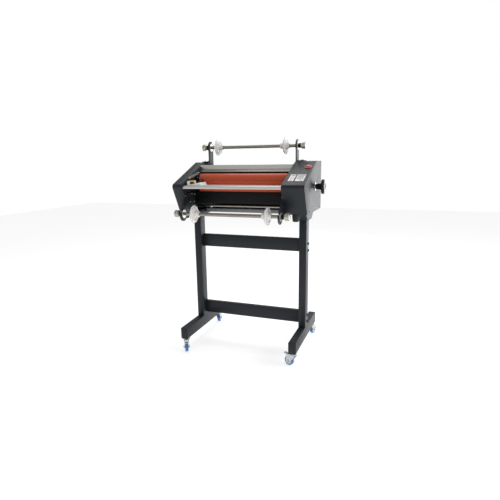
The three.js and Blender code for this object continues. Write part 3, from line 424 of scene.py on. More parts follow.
def finished(obj, body, material, slot, *stands_for, smooth=35):
    """The last steps for every piece: smooth shading up to an angle, its finish, and its body."""
    only(obj)
    bpy.ops.object.shade_smooth_by_angle(angle=math.radians(smooth))
    obj.data.materials.clear()
    obj.data.materials.append(material)
    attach(obj, body)
    if stands_for:
        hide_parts(*stands_for)
    return obj


def merged(obj):
    """Welds loose triangles into one skin and joins those that lie in one plane."""
    only(obj)
    bpy.ops.object.mode_set(mode="EDIT")
    bpy.ops.mesh.select_all(action="SELECT")
    bpy.ops.mesh.remove_doubles(threshold=2e-6)
    bpy.ops.mesh.dissolve_limited(angle_limit=math.radians(0.6))
    object_mode()
    return obj


def softened(node, radius, body, material, slot, segments=2):
    obj = merged(unhitched(frame["nodes"][node], node + "_softened"))
    apply_modifier(obj, "BEVEL", width=radius * MM, segments=segments, limit_method="ANGLE",
                   angle_limit=math.radians(32), harden_normals=False)
    return finished(obj, body, material, slot, node)


# %% The stand, the base and the sheet metal
SOFTENED = [                   # radius in mm, finish, slot, and the frame's parts that get them
    (1.0, ANTHRACITE, "anthracite_powder_coat", [
        "left_foot", "right_foot", "left_post", "right_post", "left_saddle", "right_saddle",
        "lower_beam", "upper_beam", "left_side_plate", "right_side_plate",
        "upper_left_bracket", "upper_right_bracket", "lower_left_bracket", "lower_right_bracket"]),
    (2.2, ANTHRACITE, "anthracite_powder_coat", ["left_cover", "right_cover"]),
    (0.6, ANTHRACITE, "anthracite_powder_coat", ["top_cover", "rear_panel"]),
    (0.8, PAN_GREY, "grey_powder_coat", ["base_pan"]),
    (0.6, BLACK_ENAMEL, "black_enamel", ["front_panel"]),
    (0.5, SILVER_ANODISED, "silver_anodised", ["top_guide_bar", "feed_table"]),
    (0.5, BLACK_ABS, "black_abs", ["mains_inlet"]),
]
for radius, material, slot, nodes in SOFTENED:
    for node in nodes:
        softened(node, radius, "machine", material, slot)
print("softened:", sum(len(row[3]) for row in SOFTENED), "folded and sawn parts")

# %% [markdown]
# The bar's slanted lip is one solid with the bar. The faces that slope down and forward get a darker, browner
# film, which is a painted reflection: it stands in for the dark surroundings that the lip mirrors.

# %% The lip's painted reflection
guide_bar = bpy.data.objects["top_guide_bar_softened"]
# The second film is a painted reflection, darker than the rest of the bar.
guide_bar.data.materials.append(LIP_PAINTED_REFLECTION)
lip_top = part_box("top_guide_bar")[1].z - 24 * MM
on_lip = [face for face in guide_bar.data.polygons if face.center.z < lip_top]
for face in on_lip:
    face.material_index = 1
print("lip faces:", len(on_lip))

# %% [markdown]
# ## Turned parts
#
# A turned part is a profile swept round an axis. By hand that is a disc, extruded and scaled again
# and again along the profile, and the helper does just that. It keeps the mesh closed and the
# rings even, and a step in the profile stays a sharp shoulder because two rings lie close to it.
# A ring with a hole is made the same way from an open circle, whose last ring is welded to its
# first.

# %% The turning helpers
ALONG_X, ALONG_Z = (0, 90, 0), (0, 0, 0)


def swept(name, profile, sides, fill):
    """Extrudes a circle along a profile of (height, radius) in millimetres, up the Z axis."""
    height, radius = profile[0]
    bpy.ops.mesh.primitive_circle_add(
        vertices=sides, radius=radius * MM, fill_type=fill, location=(0, 0, height * MM))
    obj = started(name)
    bpy.ops.object.transform_apply(location=True, rotation=False, scale=False)
    bpy.ops.object.mode_set(mode="EDIT")
    bpy.ops.mesh.select_mode(type="FACE" if fill == "NGON" else "EDGE")
    bpy.ops.mesh.select_all(action="SELECT")
    for next_height, next_radius in profile[1:]:
        bpy.ops.mesh.extrude_region_move(
            TRANSFORM_OT_translate={"value": (0, 0, (next_height - height) * MM)})
        share = next_radius / radius
        if abs(share - 1) > 1e-9:
            bpy.ops.transform.resize(value=(share, share, 1), center_override=(0, 0, next_height * MM))
        height, radius = next_height, next_radius
    return obj


def solid(name, profile, sides):
    """A closed turned body at the origin, in object mode."""
    obj = swept(name, profile, sides, "NGON")
    object_mode()
    return obj


def turned(name, profile, place, turn=ALONG_Z, sides=48):
    return put(solid(name, profile, sides), place, turn)


def skin_closed(weld=True):
    """Ends an edit: points that meet become one, and every face points outwards."""
    bpy.ops.mesh.select_all(action="SELECT")
    if weld:
        bpy.ops.mesh.remove_doubles(threshold=1e-6)
    bpy.ops.mesh.normals_make_consistent(inside=False)
    object_mode()


def ring(name, profile, place, turn=ALONG_Z, sides=48):
    """A turned part with a hole: the profile goes round its section and closes on itself."""
    obj = swept(name, profile + [profile[0]], sides, "NOTHING")
    skin_closed()
    return put(obj, place, turn)


def block(name, low, high):
    """A box from its lowest to its highest corner, in metres."""
    low, high = Vector(low), Vector(high)
    bpy.ops.mesh.primitive_cube_add(size=1, location=(low + high) / 2, scale=high - low)
    obj = started(name)
    bpy.ops.object.transform_apply(location=True, rotation=True, scale=True)
    return obj


def corners_rounded(obj, axis, radius, segments):
    """Rounds the edges of a block that run along one axis, 0 for X to 2 for Z."""
    bpy.ops.object.mode_set(mode="EDIT")
    bpy.ops.mesh.select_mode(type="EDGE")
    bpy.ops.mesh.select_all(action="DESELECT")
    object_mode()
    for edge in obj.data.edges:
        a, b = (obj.data.vertices[i].co for i in edge.vertices)
        edge.select = abs(a[axis] - b[axis]) > 1e-6
    bpy.ops.object.mode_set(mode="EDIT")
    bpy.ops.mesh.bevel(offset=radius * MM, segments=segments, affect="EDGES")
    object_mode()


def copied(obj, name):
    """A copy of a pattern at the origin, with its own mesh."""
    return put(unhitched(obj, name))


def joined(name, pieces):
    """Joins separate closed pieces of one part into one object."""
    bpy.ops.object.select_all(action="DESELECT")
    for piece in pieces:
        piece.select_set(True)
    bpy.context.view_layer.objects.active = pieces[0]
    bpy.ops.object.join()
    pieces[0].name = name
    pieces[0].data.name = name
    return pieces[0]


def middle(node):
    low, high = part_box(node)
    return (low + high) / 2


SIDES = ("left", "right")
OUTWARD = {"left": -1, "right": 1}
LEFT_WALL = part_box("left_side_plate")[1].x    # the inner faces of the two side plates
RIGHT_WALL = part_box("right_side_plate")[0].x
WALL = {"left": LEFT_WALL, "right": RIGHT_WALL}
print("clear width between the side plates:", round(RIGHT_WALL - LEFT_WALL, 3), "m")

# %% [markdown]
# ## The rollers
#
# Each roller is a steel core with a 60 mm silicone jacket between bearing journals. The jacket is
# one turned body with a small chamfer, and the core is another that shows only at the ends. They
# are two materials, so they are two pieces. The drive gear on the lower roller's right end sits
# inside the housing, and it keeps the frame's own tooth shape.

# %% Rollers, journals and the drive gear
ROLLER_RADIUS = 30.0
JOURNAL_RADIUS = 10.0
LEFT_GAP, RIGHT_GAP = 27.0, 12.0   # from the side plates to the jacket's ends

jacket_length = (RIGHT_WALL - LEFT_WALL) / MM - LEFT_GAP - RIGHT_GAP
for level in ("upper", "lower"):
    node = level + "_roller"
    low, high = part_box(node)
    centre = middle(node)
    axis_low = Vector((0, centre.y, centre.z))
    jacket = turned(node + "_jacket", [
        (0.0, 15), (0.0, ROLLER_RADIUS - 2.2), (0.3, ROLLER_RADIUS - 1.6), (1.4, ROLLER_RADIUS - 0.3),
        (2.2, ROLLER_RADIUS), (jacket_length / 3, ROLLER_RADIUS), (jacket_length * 2 / 3, ROLLER_RADIUS),
        (jacket_length - 2.2, ROLLER_RADIUS), (jacket_length - 1.4, ROLLER_RADIUS - 0.3),
        (jacket_length - 0.3, ROLLER_RADIUS - 1.6), (jacket_length, ROLLER_RADIUS - 2.2),
        (jacket_length, 15)],
        axis_low + Vector((LEFT_WALL + LEFT_GAP * MM, 0, 0)), ALONG_X, sides=96)
    finished(jacket, node, SILICONE, "orange_silicone", node)
    reach = (high.x - low.x) / MM
    shoulder = (LEFT_WALL - low.x) / MM + LEFT_GAP - 3
    core = turned(node + "_core", [
        (0.2, JOURNAL_RADIUS - 1), (1.2, JOURNAL_RADIUS - 0.05), (shoulder, JOURNAL_RADIUS - 0.05),
        (shoulder, 19),
        (shoulder + jacket_length + 6, 19), (shoulder + jacket_length + 6, JOURNAL_RADIUS - 0.05),
        (reach - 1.2, JOURNAL_RADIUS - 0.05), (reach - 0.2, JOURNAL_RADIUS - 1)],
        axis_low + Vector((low.x, 0, 0)), ALONG_X, sides=48)
    finished(core, node, BRIGHT_STEEL, "bright_steel")

gear = unhitched(frame["nodes"]["lower_roller"], "lower_roller_gear")
only(gear)
bpy.ops.object.mode_set(mode="EDIT")
bpy.ops.mesh.select_all(action="SELECT")
bpy.ops.mesh.remove_doubles(threshold=2e-6)
bpy.ops.mesh.select_all(action="SELECT")
gear_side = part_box("drive_pinion")[0].x - 1.5 * MM
bpy.ops.mesh.bisect(plane_co=(gear_side, 0, 0), plane_no=(1, 0, 0), clear_inner=True, use_fill=True)
object_mode()
finished(gear, "lower_roller", BRIGHT_STEEL, "bright_steel", smooth=20)
print("rollers:", round(jacket_length, 1), "mm of rubber face")

# %% [markdown]
# ## Film shafts, brakes and knobs
#
# Above and below the nip a 18 mm shaft carries the film roll. It rests in the brackets' open hooks
# between two steel washers, and outside each bracket a spring and a knob set the brake: the
# further the knob is screwed in, the harder the spring pulls the washers together.
#
# The thread is cut as separate grooves instead of one helix. At 1.75 mm pitch nobody can tell, and
# rings keep the shaft one clean turned body.

# %% Film shafts
SHAFT_RADIUS = 9.0
THREAD_RADIUS = 7.0
THREAD_PITCH = 1.75
WASHER_RADIUS = 22.0
WASHER_THICKNESS = 3.0
KNOB_RADIUS = 18.5


def thread(start, end):
    """Profile points of a threaded stretch."""
    points = []
    turns = int((end - start) / THREAD_PITCH)
    for i in range(turns):
        at = start + i * THREAD_PITCH
        points += [(at, THREAD_RADIUS - 0.7), (at + THREAD_PITCH * 0.4, THREAD_RADIUS),
                   (at + THREAD_PITCH * 0.6, THREAD_RADIUS)]
    return points


def bracket_faces(level, side):
    """The inner and outer X of a bracket's plate, in metres."""
    low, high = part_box(f"{level}_{side}_bracket")
    plate = 5 * MM
    if side == "left":
        return (high.x, high.x - plate)
    return (low.x, low.x + plate)


for level in ("upper", "lower"):
    node = level + "_film_shaft"
    low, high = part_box(node)
    centre = middle(node)
    left_out = bracket_faces(level, "left")[1]
    right_out = bracket_faces(level, "right")[1]
    total = (high.x - low.x) / MM
    left_seat = (left_out - low.x) / MM
    right_seat = (right_out - low.x) / MM
    smooth_start = left_seat + 5 + WASHER_THICKNESS
    smooth_end = right_seat - 5 - WASHER_THICKNESS
    shaft = turned(node + "_turned", [
        (0.3, THREAD_RADIUS - 1.4), *thread(1.2, left_seat - 1), (left_seat, THREAD_RADIUS - 0.6),
        (smooth_start - 1, THREAD_RADIUS - 0.6), (smooth_start - 1, SHAFT_RADIUS), (total / 2, SHAFT_RADIUS),
        (smooth_end + 1, SHAFT_RADIUS), (smooth_end + 1, THREAD_RADIUS - 0.6),
        (right_seat, THREAD_RADIUS - 0.6),
        *thread(right_seat + 1, total - 2.2), (total - 0.3, THREAD_RADIUS - 1.4)],
        (low.x, centre.y, centre.z), ALONG_X, sides=48)
    finished(shaft, node, BRIGHT_STEEL, "bright_steel", node)
    for side in SIDES:
        inner, outer = bracket_faces(level, side)
        out = OUTWARD[side]
        disc = [(0, SHAFT_RADIUS - 2.6), (0, WASHER_RADIUS - 0.5), (0.4, WASHER_RADIUS), (2.2, WASHER_RADIUS),
                (2.6, WASHER_RADIUS - 0.5), (2.6, SHAFT_RADIUS - 2.6)]
        at_inner = inner - 0.35 * MM - 2.6 * MM if out > 0 else inner + 0.35 * MM
        at_outer = outer + 0.35 * MM if out > 0 else outer - 2.95 * MM
        washers = [ring("brake_washer", disc, (x, centre.y, centre.z), ALONG_X, sides=64)
                   for x in (at_inner, at_outer)]
        pair = joined(f"{level}_{side}_brake_washers", washers)
        finished(pair, node, SILVER_ANODISED, "bright_steel")
print("film shafts: thread pitch", THREAD_PITCH, "mm")

# %% [markdown]
# The brake spring is wound from 2.6 mm wire, a little over four turns, and its end turns are ground
# flat against the washer and the knob. In Blender a screw modifier winds a small circle round the
# axis, and the two open ends are then filled.

# %% Brake springs
WIRE = 2.6
SPRING_RADIUS = 11.5
SPRING_TURNS = 4.5


def spring(name, start, end, centre):
    """A coil between two X places."""
    length = abs(end - start) - WIRE * MM
    bpy.ops.mesh.primitive_circle_add(
        vertices=12, radius=WIRE / 2 * MM, location=(SPRING_RADIUS * MM, 0, 0),
        rotation=(math.radians(90), 0, 0))
    obj = started(name)
    bpy.ops.object.transform_apply(location=True, rotation=True, scale=True)
    steps = int(30 * SPRING_TURNS)
    apply_modifier(obj, "SCREW", axis="Z", angle=math.radians(360 * SPRING_TURNS), screw_offset=length,
                   steps=steps, render_steps=steps, use_normal_calculate=True)
    bpy.ops.object.mode_set(mode="EDIT")
    bpy.ops.mesh.select_all(action="SELECT")
    bpy.ops.mesh.remove_doubles(threshold=1e-6)
    bpy.ops.mesh.fill_holes(sides=0)
    bpy.ops.mesh.normals_make_consistent(inside=False)
    object_mode()
    return put(obj, (min(start, end) + WIRE / 2 * MM, centre.y, centre.z), ALONG_X)


for level in ("upper", "lower"):
    centre = middle(level + "_film_shaft")
    for side in SIDES:
        knob_low, knob_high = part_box(f"{level}_{side}_brake_knob")
        knob_face = knob_high.x if side == "left" else knob_low.x
        washer_face = bracket_faces(level, side)[1] + OUTWARD[side] * 3.1 * MM
        coil = spring(f"{level}_{side}_brake_spring", washer_face, knob_face, centre)
        finished(coil, f"{level}_{side}_knob", SPRING_STEEL, "bright_steel", smooth=60)
print("springs:", SPRING_TURNS, "turns of", WIRE, "mm wire")

# %% [markdown]
# The knobs are turned from aluminium bar with two bands of straight knurling and a groove between
# them, and a flange on the inside that pushes on the spring. For the knurl, every narrow face of
# a band is inset on its own and pushed out. That gives a row of small flat ribs, which is what a
# straight knurling wheel rolls.

# %% Brake knobs
KNURL_RIBS = 44


def knob(name, place, outward):
    r = KNOB_RADIUS
    profile = [
        (21.6, 1.2), (21.6, 7.3), (0, 7.3), (0, r - 5), (0.8, r - 4.2), (4.0, r - 4.2), (4.6, r - 1.6),
        (5.4, r - 0.8), (13.4, r - 0.8),
        (13.8, r - 2.4), (15.6, r - 2.4), (16.0, r - 0.8), (24.0, r - 0.8), (25.0, r - 1.6), (25.7, r - 3.4),
        (25.7, r - 9), (24.9, r - 9.6), (24.9, 1.5)]
    obj = swept(name, profile, KNURL_RIBS * 2, "NGON")
    skin_closed(weld=False)
    bands = [(5.6 * MM, 13.2 * MM), (16.2 * MM, 23.8 * MM)]

    def on_rib(centre, normal):
        inside = any(low < centre.z < high for low, high in bands)
        turn = math.atan2(centre.y, centre.x) / (2 * math.pi) * KNURL_RIBS
        return inside and abs(normal.z) < 0.1 and (turn % 1.0) < 0.5

    faces_where(obj, on_rib)
    bpy.ops.mesh.inset(use_individual=True, thickness=0.25 * MM, depth=0.7 * MM)
    object_mode()
    return put(obj, place, (0, 90 * outward, 0))


for level in ("upper", "lower"):
    for side in SIDES:
        node = f"{level}_{side}_brake_knob"
        low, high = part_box(node)
        centre = middle(node)
        inner_x = high.x if side == "left" else low.x
        turned_knob = knob(node + "_knurled", (inner_x, centre.y, centre.z), OUTWARD[side])
        finished(turned_knob, f"{level}_{side}_knob", CHAMPAGNE_ANODISED, "champagne_anodised", node,
                 smooth=25)
print("knobs:", KNURL_RIBS, "ribs each")

# %% [markdown]
# ## Core chucks
#
# A chuck is a moulded spool end that centres a 76 mm cardboard core on the shaft. Its drum goes
# into the core and its flange stops against the core's end. To save plastic it is hollow from the
# inside face, with ribs from the hub to the drum, and its cone is stiffened by gussets. Two set
# screws hold it. Ribs and gussets are separate blocks that are tapered in edit mode and sunk into
# the moulding.

# %% Chucks
DRUM_RADIUS = 37.5
FLANGE_RADIUS = 45.5
HUB_RADIUS = 15.0
HUB_LENGTH = 26.0
RIBS = 8


def chuck(name, place, outward):
    """Built along +Z with its inner face at the low end, then turned so that +Z points outward."""
    hub, core, drum, rim = HUB_LENGTH, HUB_RADIUS, DRUM_RADIUS, FLANGE_RADIUS
    body = swept(name, [
        (-hub, 9.35), (-hub, core - 0.8), (-hub + 0.6, core - 0.2), (-hub + 1.2, core), (-8, core + 0.6),
        (-3.0, core + 1), (-2.2, core + 2), (-2.0, drum - 6), (-2.6, drum - 4.2), (-5.6, drum - 3.2),
        (-6.0, drum - 2.4), (-5.6, drum - 1.2), (-3, drum - 0.6), (0.4, drum), (0.6, drum + 1.5),
        (0.9, rim - 0.9), (1.6, rim - 0.2), (2.4, rim), (5.6, rim), (6.4, rim - 0.3),
        (6.9, rim - 1.1), (6.9, rim - 3.4), (6.2, rim - 4.0), (4.8, rim - 5), (4.6, 27),
        (5.2, 25.2), (8.4, 22.6), (10, 20.8), (hub - 8, 14.6), (hub - 3, 13.2), (hub - 1.8, 12.4),
        (hub - 1.2, 11.4), (hub - 1.2, 9.35), (-hub, 9.35)],
        72, "NOTHING")
    skin_closed()
    pieces = [body]
    for i in range(RIBS):
        angle = i * 360 / RIBS
        rib = block(f"{name}_rib", (14 * MM, -1.1 * MM, -5.2 * MM), (35 * MM, 1.1 * MM, -1.6 * MM))
        pieces.append(put(rib, (0, 0, 0), (0, 0, angle)))
        fin = block(f"{name}_fin", (12 * MM, -1.2 * MM, 4.2 * MM), (41.5 * MM, 1.2 * MM, 17 * MM))
        faces_where(fin, lambda c, n: n.z > 0.9)
        bpy.ops.mesh.select_mode(type="VERT")
        object_mode()
        for vertex in fin.data.vertices:
            vertex.select = vertex.co.x > 30 * MM and vertex.co.z > 10 * MM
        bpy.ops.object.mode_set(mode="EDIT")
        bpy.ops.transform.translate(value=(0, 0, -11.3 * MM))
        object_mode()
        pieces.append(put(fin, (0, 0, 0), (0, 0, angle + 22.5)))
    obj = joined(name, pieces)
    return put(obj, place, (0, 90 * outward, 0))


for level in ("upper", "lower"):
    shaft = level + "_film_shaft"
    for side in SIDES:
        node = f"{level}_{side}_chuck"
        low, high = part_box(node)
        centre = middle(node)
        hub_x = high.x if side == "left" else low.x
        seat = hub_x + OUTWARD[side] * HUB_LENGTH * MM
        moulding = chuck(node + "_moulded", (seat, centre.y, centre.z), OUTWARD[side])
        finished(moulding, f"{level}_{side}_chuck", WHITE_ABS, "white_abs", node, smooth=30)
        screws = []
        for angle in (40, 130):
            screw = solid("set_screw", [(0, 2.4), (2.2, 2.4), (2.6, 2.0), (2.6, 1.2), (1.2, 1.1)], 24)
            put(screw, (0, 0, 13.2 * MM), (0, 0, 0))
            screws.append(put(screw, (seat - OUTWARD[side] * 18 * MM, centre.y, centre.z), (angle, 0, 0)))
        pair = joined(f"{level}_{side}_chuck_set_screws", screws)
        finished(pair, f"{level}_{side}_chuck", ZINC, "zinc_plate")
print("chucks: four, with", RIBS, "ribs and gussets each")

# %% [markdown]
# ## Screws and bolts
#
# Every screw is one of three kinds: a socket cap screw, a hex bolt on a washer, or a countersunk
# screw with a cross recess. Each kind is modelled once at the origin with its seat at height zero,
# and then copied to its places and turned to face out of the part that it holds.

# %% The three kinds of screw
def hex_recess(obj, flats, depth):
    """Sinks a recess into a head: the top face is inset until it is the recess, then pushed in."""
    top = max(v.co.z for v in obj.data.vertices)
    faces_where(obj, lambda c, n: n.z > 0.9 and c.z > top - 1e-5)
    bpy.ops.mesh.inset(thickness=flats * MM)
    bpy.ops.mesh.extrude_region_move(TRANSFORM_OT_translate={"value": (0, 0, -depth * MM)})
    object_mode()
    return obj


def cap_screw(radius=4.2):
    r = radius
    head = solid("cap_screw", [
        (-1.0, r * 0.6), (0.0, r * 0.6), (0.0, r), (r * 0.75, r), (r * 0.95, r - 0.5)], 24)
    return hex_recess(head, r * 0.42, r * 0.55)


def hex_bolt(radius=6.0):
    r = radius
    plate = solid("bolt_washer", [(-0.4, r * 0.9), (0.05, r * 1.35), (1.2, r * 1.35), (1.5, r * 1.25)], 36)
    head = solid("hex_head", [(1.3, r), (1.4 + r * 0.55, r), (1.4 + r * 0.68, r * 0.86)], 6)
    return joined("hex_bolt", [plate, head])


def cross_screw(radius=3.6):
    r = radius
    head = solid("cross_screw", [(-0.6, r * 0.7), (0.0, r), (0.5, r), (1.2, r * 0.8), (1.5, r * 0.45)], 24)
    return hex_recess(head, r * 0.16, 0.7)


def set_out(name, pattern, places, facing, body, material, slot):
    """Copies a screw to its places, all facing one way, as one piece."""
    turn = Vector(facing).to_track_quat("Z", "Y").to_euler()
    turn = [math.degrees(a) for a in turn]
    copies = [put(copied(pattern, name), place, turn) for place in places]
    return finished(joined(name, copies), body, material, slot, smooth=30)


def thrown_away(obj):
    bpy.data.objects.remove(obj, do_unlink=True)


RIGHT, BACK, UP = (1, 0, 0), (0, 1, 0), (0, 0, 1)

# %% [markdown]
# The brackets and side plates take cap screws. Each post takes two black bolts at each beam.

# %% Screws in the brackets and the stand
cap = cap_screw()
bolt = hex_bolt()
shaft = middle("lower_film_shaft")
BRACKET_SCREWS = [(94, 98), (128, 93), (79, 57), (118, 54), (126, 38)]   # mm back and up from the shaft
for side in SIDES:
    inner = bracket_faces("lower", side)[0]
    inward = -OUTWARD[side]
    places = [(inner + inward * 0.1 * MM, shaft.y + back * MM, shaft.z + up * MM)
              for back, up in BRACKET_SCREWS]
    set_out(f"lower_{side}_bracket_screws", cap, places, (inward, 0, 0), "machine", ZINC, "zinc_plate")
    place = (WALL[side] + inward * 0.1 * MM, shaft.y + 35 * MM, shaft.z + 92 * MM)
    set_out(f"{side}_plate_screw", cap, [place], (inward, 0, 0), "machine", ZINC, "zinc_plate")
    low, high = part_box(f"upper_{side}_bracket")
    foot_x = low.x + 16 * MM if side == "left" else high.x - 16 * MM
    foot_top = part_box("left_cover")[1].z + 4.4 * MM
    depth = high.y - low.y
    places = [(foot_x, low.y + depth * share, foot_top) for share in (0.22, 0.78)]
    set_out(f"upper_{side}_bracket_screws", cap, places, UP, "machine", ZINC, "zinc_plate")
    post_low, post_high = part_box(f"{side}_post")
    face_x = post_low.x if side == "left" else post_high.x
    seat_x = face_x + OUTWARD[side] * 0.1 * MM
    places = [(seat_x, middle(level + "_beam").y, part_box(level + "_beam")[0].z + rise * MM)
              for level in ("lower", "upper") for rise in (43, 7)]
    set_out(f"{side}_post_bolts", bolt, places, (OUTWARD[side], 0, 0), "machine", BLACK_ABS, "black_abs")
print("screws in the brackets and the stand are set out")

# %% [markdown]
# Thin sheet is held by countersunk screws with a cross recess.

# %% Screws in the sheets
small = cross_screw()
low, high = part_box("rear_panel")
back_y = high.y + 0.1 * MM
places = [(x, back_y, z) for x in (low.x + 14 * MM, (low.x + high.x) / 2, high.x - 14 * MM)
          for z in (low.z + 14 * MM, high.z - 16 * MM)]
set_out("rear_panel_screws", small, places, BACK, "machine", ZINC, "zinc_plate")
for side in SIDES:
    low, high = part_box(f"{side}_cover")
    face_x = low.x if side == "left" else high.x
    places = [(face_x + OUTWARD[side] * 0.1 * MM, y, low.z + 12 * MM)
              for y in (low.y + 110 * MM, high.y - 45 * MM)]
    set_out(f"{side}_cover_screws", small, places, (OUTWARD[side], 0, 0), "machine", BLACK_ABS, "black_abs")
thrown_away(small)

# %% [markdown]
# ## Casters
#
# Four light swivel casters: a pressed fork with a ball race in its head, and a wheel with a nylon
# centre and a blue polyurethane tyre. The centre is thinner between hub and rim and stiffened
# by six ribs. The wheels are built about the Z axis and then turned so that this axis lies along
# their own axle, which the frame's joints give.

# %% Caster wheels and forks
joint = {row["name"]: row for row in frame["joints"]}
WHEEL_RADIUS = 25.0
HALF = 9.0


def tyre():
    r = WHEEL_RADIUS
    half_profile = [(8.6, 18.4), (HALF, 19.4), (HALF, r - 3), (8.2, r - 1.1), (6.6, r - 0.15), (5, r)]
    profile = [(-h, width) for h, width in half_profile] + half_profile[::-1]
    return ring("tyre", profile, (0, 0, 0), ALONG_Z, sides=64)


def wheel_centre():
    half_profile = [(9.9, 5.0), (9.9, 7.6), (9.3, 8.3), (7.0, 8.9), (5.6, 9.8), (5.6, 15.2),
                    (8.0, 16.4), (8.7, 17.2), (8.5, 18.4)]
    profile = [(-h, r) for h, r in half_profile] + half_profile[::-1]
    pieces = [ring("centre", profile, (0, 0, 0), ALONG_Z, sides=64)]
    for i in range(6):
        rib = block("centre_rib", (8.2 * MM, -1.1 * MM, -7.4 * MM), (16 * MM, 1.1 * MM, 7.4 * MM))
        pieces.append(put(rib, (0, 0, 0), (0, 0, i * 60)))
    return joined("wheel_centre", pieces)


tyre_pattern = tyre()
centre_pattern = wheel_centre()
nut_pattern = solid("axle_nut", [(0, 6.2), (4.0, 6.2), (4.6, 5.2)], 6)
CORNERS = ("front_left", "front_right", "back_left", "back_right")
for corner in CORNERS:
    spin = joint[corner + "_wheel_spin"]
    place, axle = Vector(spin["pos_m"]), Vector(spin["axis"]).normalized()
    turn = (-90, 0, math.degrees(math.atan2(-axle.x, axle.y)))
    wheel_body, fork_body = corner + "_wheel", corner + "_fork"
    tread = put(copied(tyre_pattern, corner + "_tyre"), place, turn)
    finished(tread, wheel_body, BLUE_TYRE, "blue_polyurethane", corner + "_caster_wheel")
    centre = put(copied(centre_pattern, corner + "_wheel_centre"), place, turn)
    finished(centre, wheel_body, WHITE_NYLON, "blue_polyurethane", smooth=25)
    softened(corner + "_caster_fork", 0.5, fork_body, ZINC, "zinc_plate")
    head = Vector(joint[corner + "_swivel"]["pos_m"])
    race = ring(corner + "_ball_race", [
        (-7.4, 14.6), (-7.4, 18.4), (-6.6, 19.4), (-4.6, 19.4), (-3.8, 18.4), (-3.6, 17.0),
        (-3.0, 16.6), (-2.4, 17.0), (-2.2, 18.6), (-1.6, 19.2), (-0.9, 19.2), (-0.7, 18.4), (-0.7, 14.6)],
        head, ALONG_Z, sides=48)
    finished(race, fork_body, ZINC, "zinc_plate", smooth=30)
    nuts = []
    for end in (-1, 1):
        facing = (-90 * end, 0, turn[2])
        seat = place + axle * end * 13.7 * MM
        nuts.append(put(copied(nut_pattern, "nut"), seat, facing))
    finished(joined(corner + "_axle_nuts", nuts), fork_body, ZINC, "zinc_plate", smooth=20)
for corner in ("front_left", "front_right"):
    softened(corner + "_brake_pedal", 0.7, corner + "_pedal", ZINC, "black_abs")
for pattern in (tyre_pattern, centre_pattern, nut_pattern):
    thrown_away(pattern)
print("casters:", len(CORNERS))

# %% [markdown]
# ## Rubber feet, idler and journals
#
# The machine stands on four moulded rubber feet, which hang beside the stand's saddles. Each has
# a flat rim, a waist and a chamfered sole. The idler under the front panel is a ground rod. Where
# a roller's journal leaves the side plate it runs in a flanged bearing, held by three screws.

# %% Feet, idler and bearings
foot_profile = [(-36.0, 11.5), (-36.0, 13.6), (-34.6, 15.2), (-31.5, 16.4), (-6.6, 18.6),
                (-5.6, 18.2), (-4.8, 18.2), (-4.0, 18.9), (-1.0, 18.9), (-0.2, 18.2)]
foot_pattern = turned("rubber_foot", foot_profile, (0, 0, 0), ALONG_Z, sides=48)
for corner in CORNERS:
    node = corner + "_rubber_foot"
    centre, top = middle(node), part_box(node)[1].z
    foot = put(copied(foot_pattern, node + "_moulded"), (centre.x, centre.y, top))
    finished(foot, "machine", BLACK_RUBBER, "black_rubber", node)
thrown_away(foot_pattern)

low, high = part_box("idler_rod")
length = (high.x - low.x) / MM
idler = turned("idler_rod_ground", [
    (0.3, 4.6), (0.9, 5.3), (12, 5.4), (12.2, 5.5), (length / 2, 5.5),
    (length - 12.2, 5.5), (length - 12, 5.4), (length - 0.9, 5.3), (length - 0.3, 4.6)],
    (low.x, (low.y + high.y) / 2, (low.z + high.z) / 2), ALONG_X, sides=40)
finished(idler, "machine", BRIGHT_STEEL, "bright_steel", "idler_rod")

flange_profile = [(0, 10.6), (0, 22.0), (0.8, 23.0), (5.0, 23.0), (6.0, 22.0), (6.2, 16.8),
                  (7.0, 16.0), (8.8, 15.6), (9.2, 14.8), (9.2, 10.6)]
for level, body in (("upper", "bearing_blocks"), ("lower", "machine")):
    axis = middle(level + "_roller")
    axis = Vector((0, axis.y, joint[level + "_roller_spin"]["pos_m"][2]))
    for side in SIDES:
        inward = -OUTWARD[side]
        seat = Vector((WALL[side] + inward * 0.4 * MM, axis.y, axis.z))
        flange = ring(f"{level}_{side}_flange", flange_profile, seat, (0, 90 * inward, 0), sides=48)
        finished(flange, body, BLACK_ENAMEL, "black_enamel", smooth=30)
        places = [seat + Vector((inward * 6.1, 19.6 * math.cos(a), 19.6 * math.sin(a))) * MM
                  for a in map(math.radians, (30, 150, 270))]
        tiny = cap_screw(2.4)
        set_out(f"{level}_{side}_flange_screws", tiny, places, (inward, 0, 0), body, ZINC, "zinc_plate")
        thrown_away(tiny)
thrown_away(cap)
thrown_away(bolt)
print("feet, idler and bearings are in place")

# %% [markdown]
# ## Handwheel and dial
#
# The nip is opened by a three-lobed handwheel on the right. Its lobes are moulded with a wide
# round edge, because a hand closes over them, and a long hub carries it clear of the housing. A
# bright dial ring round the shaft is fixed to the housing's side.

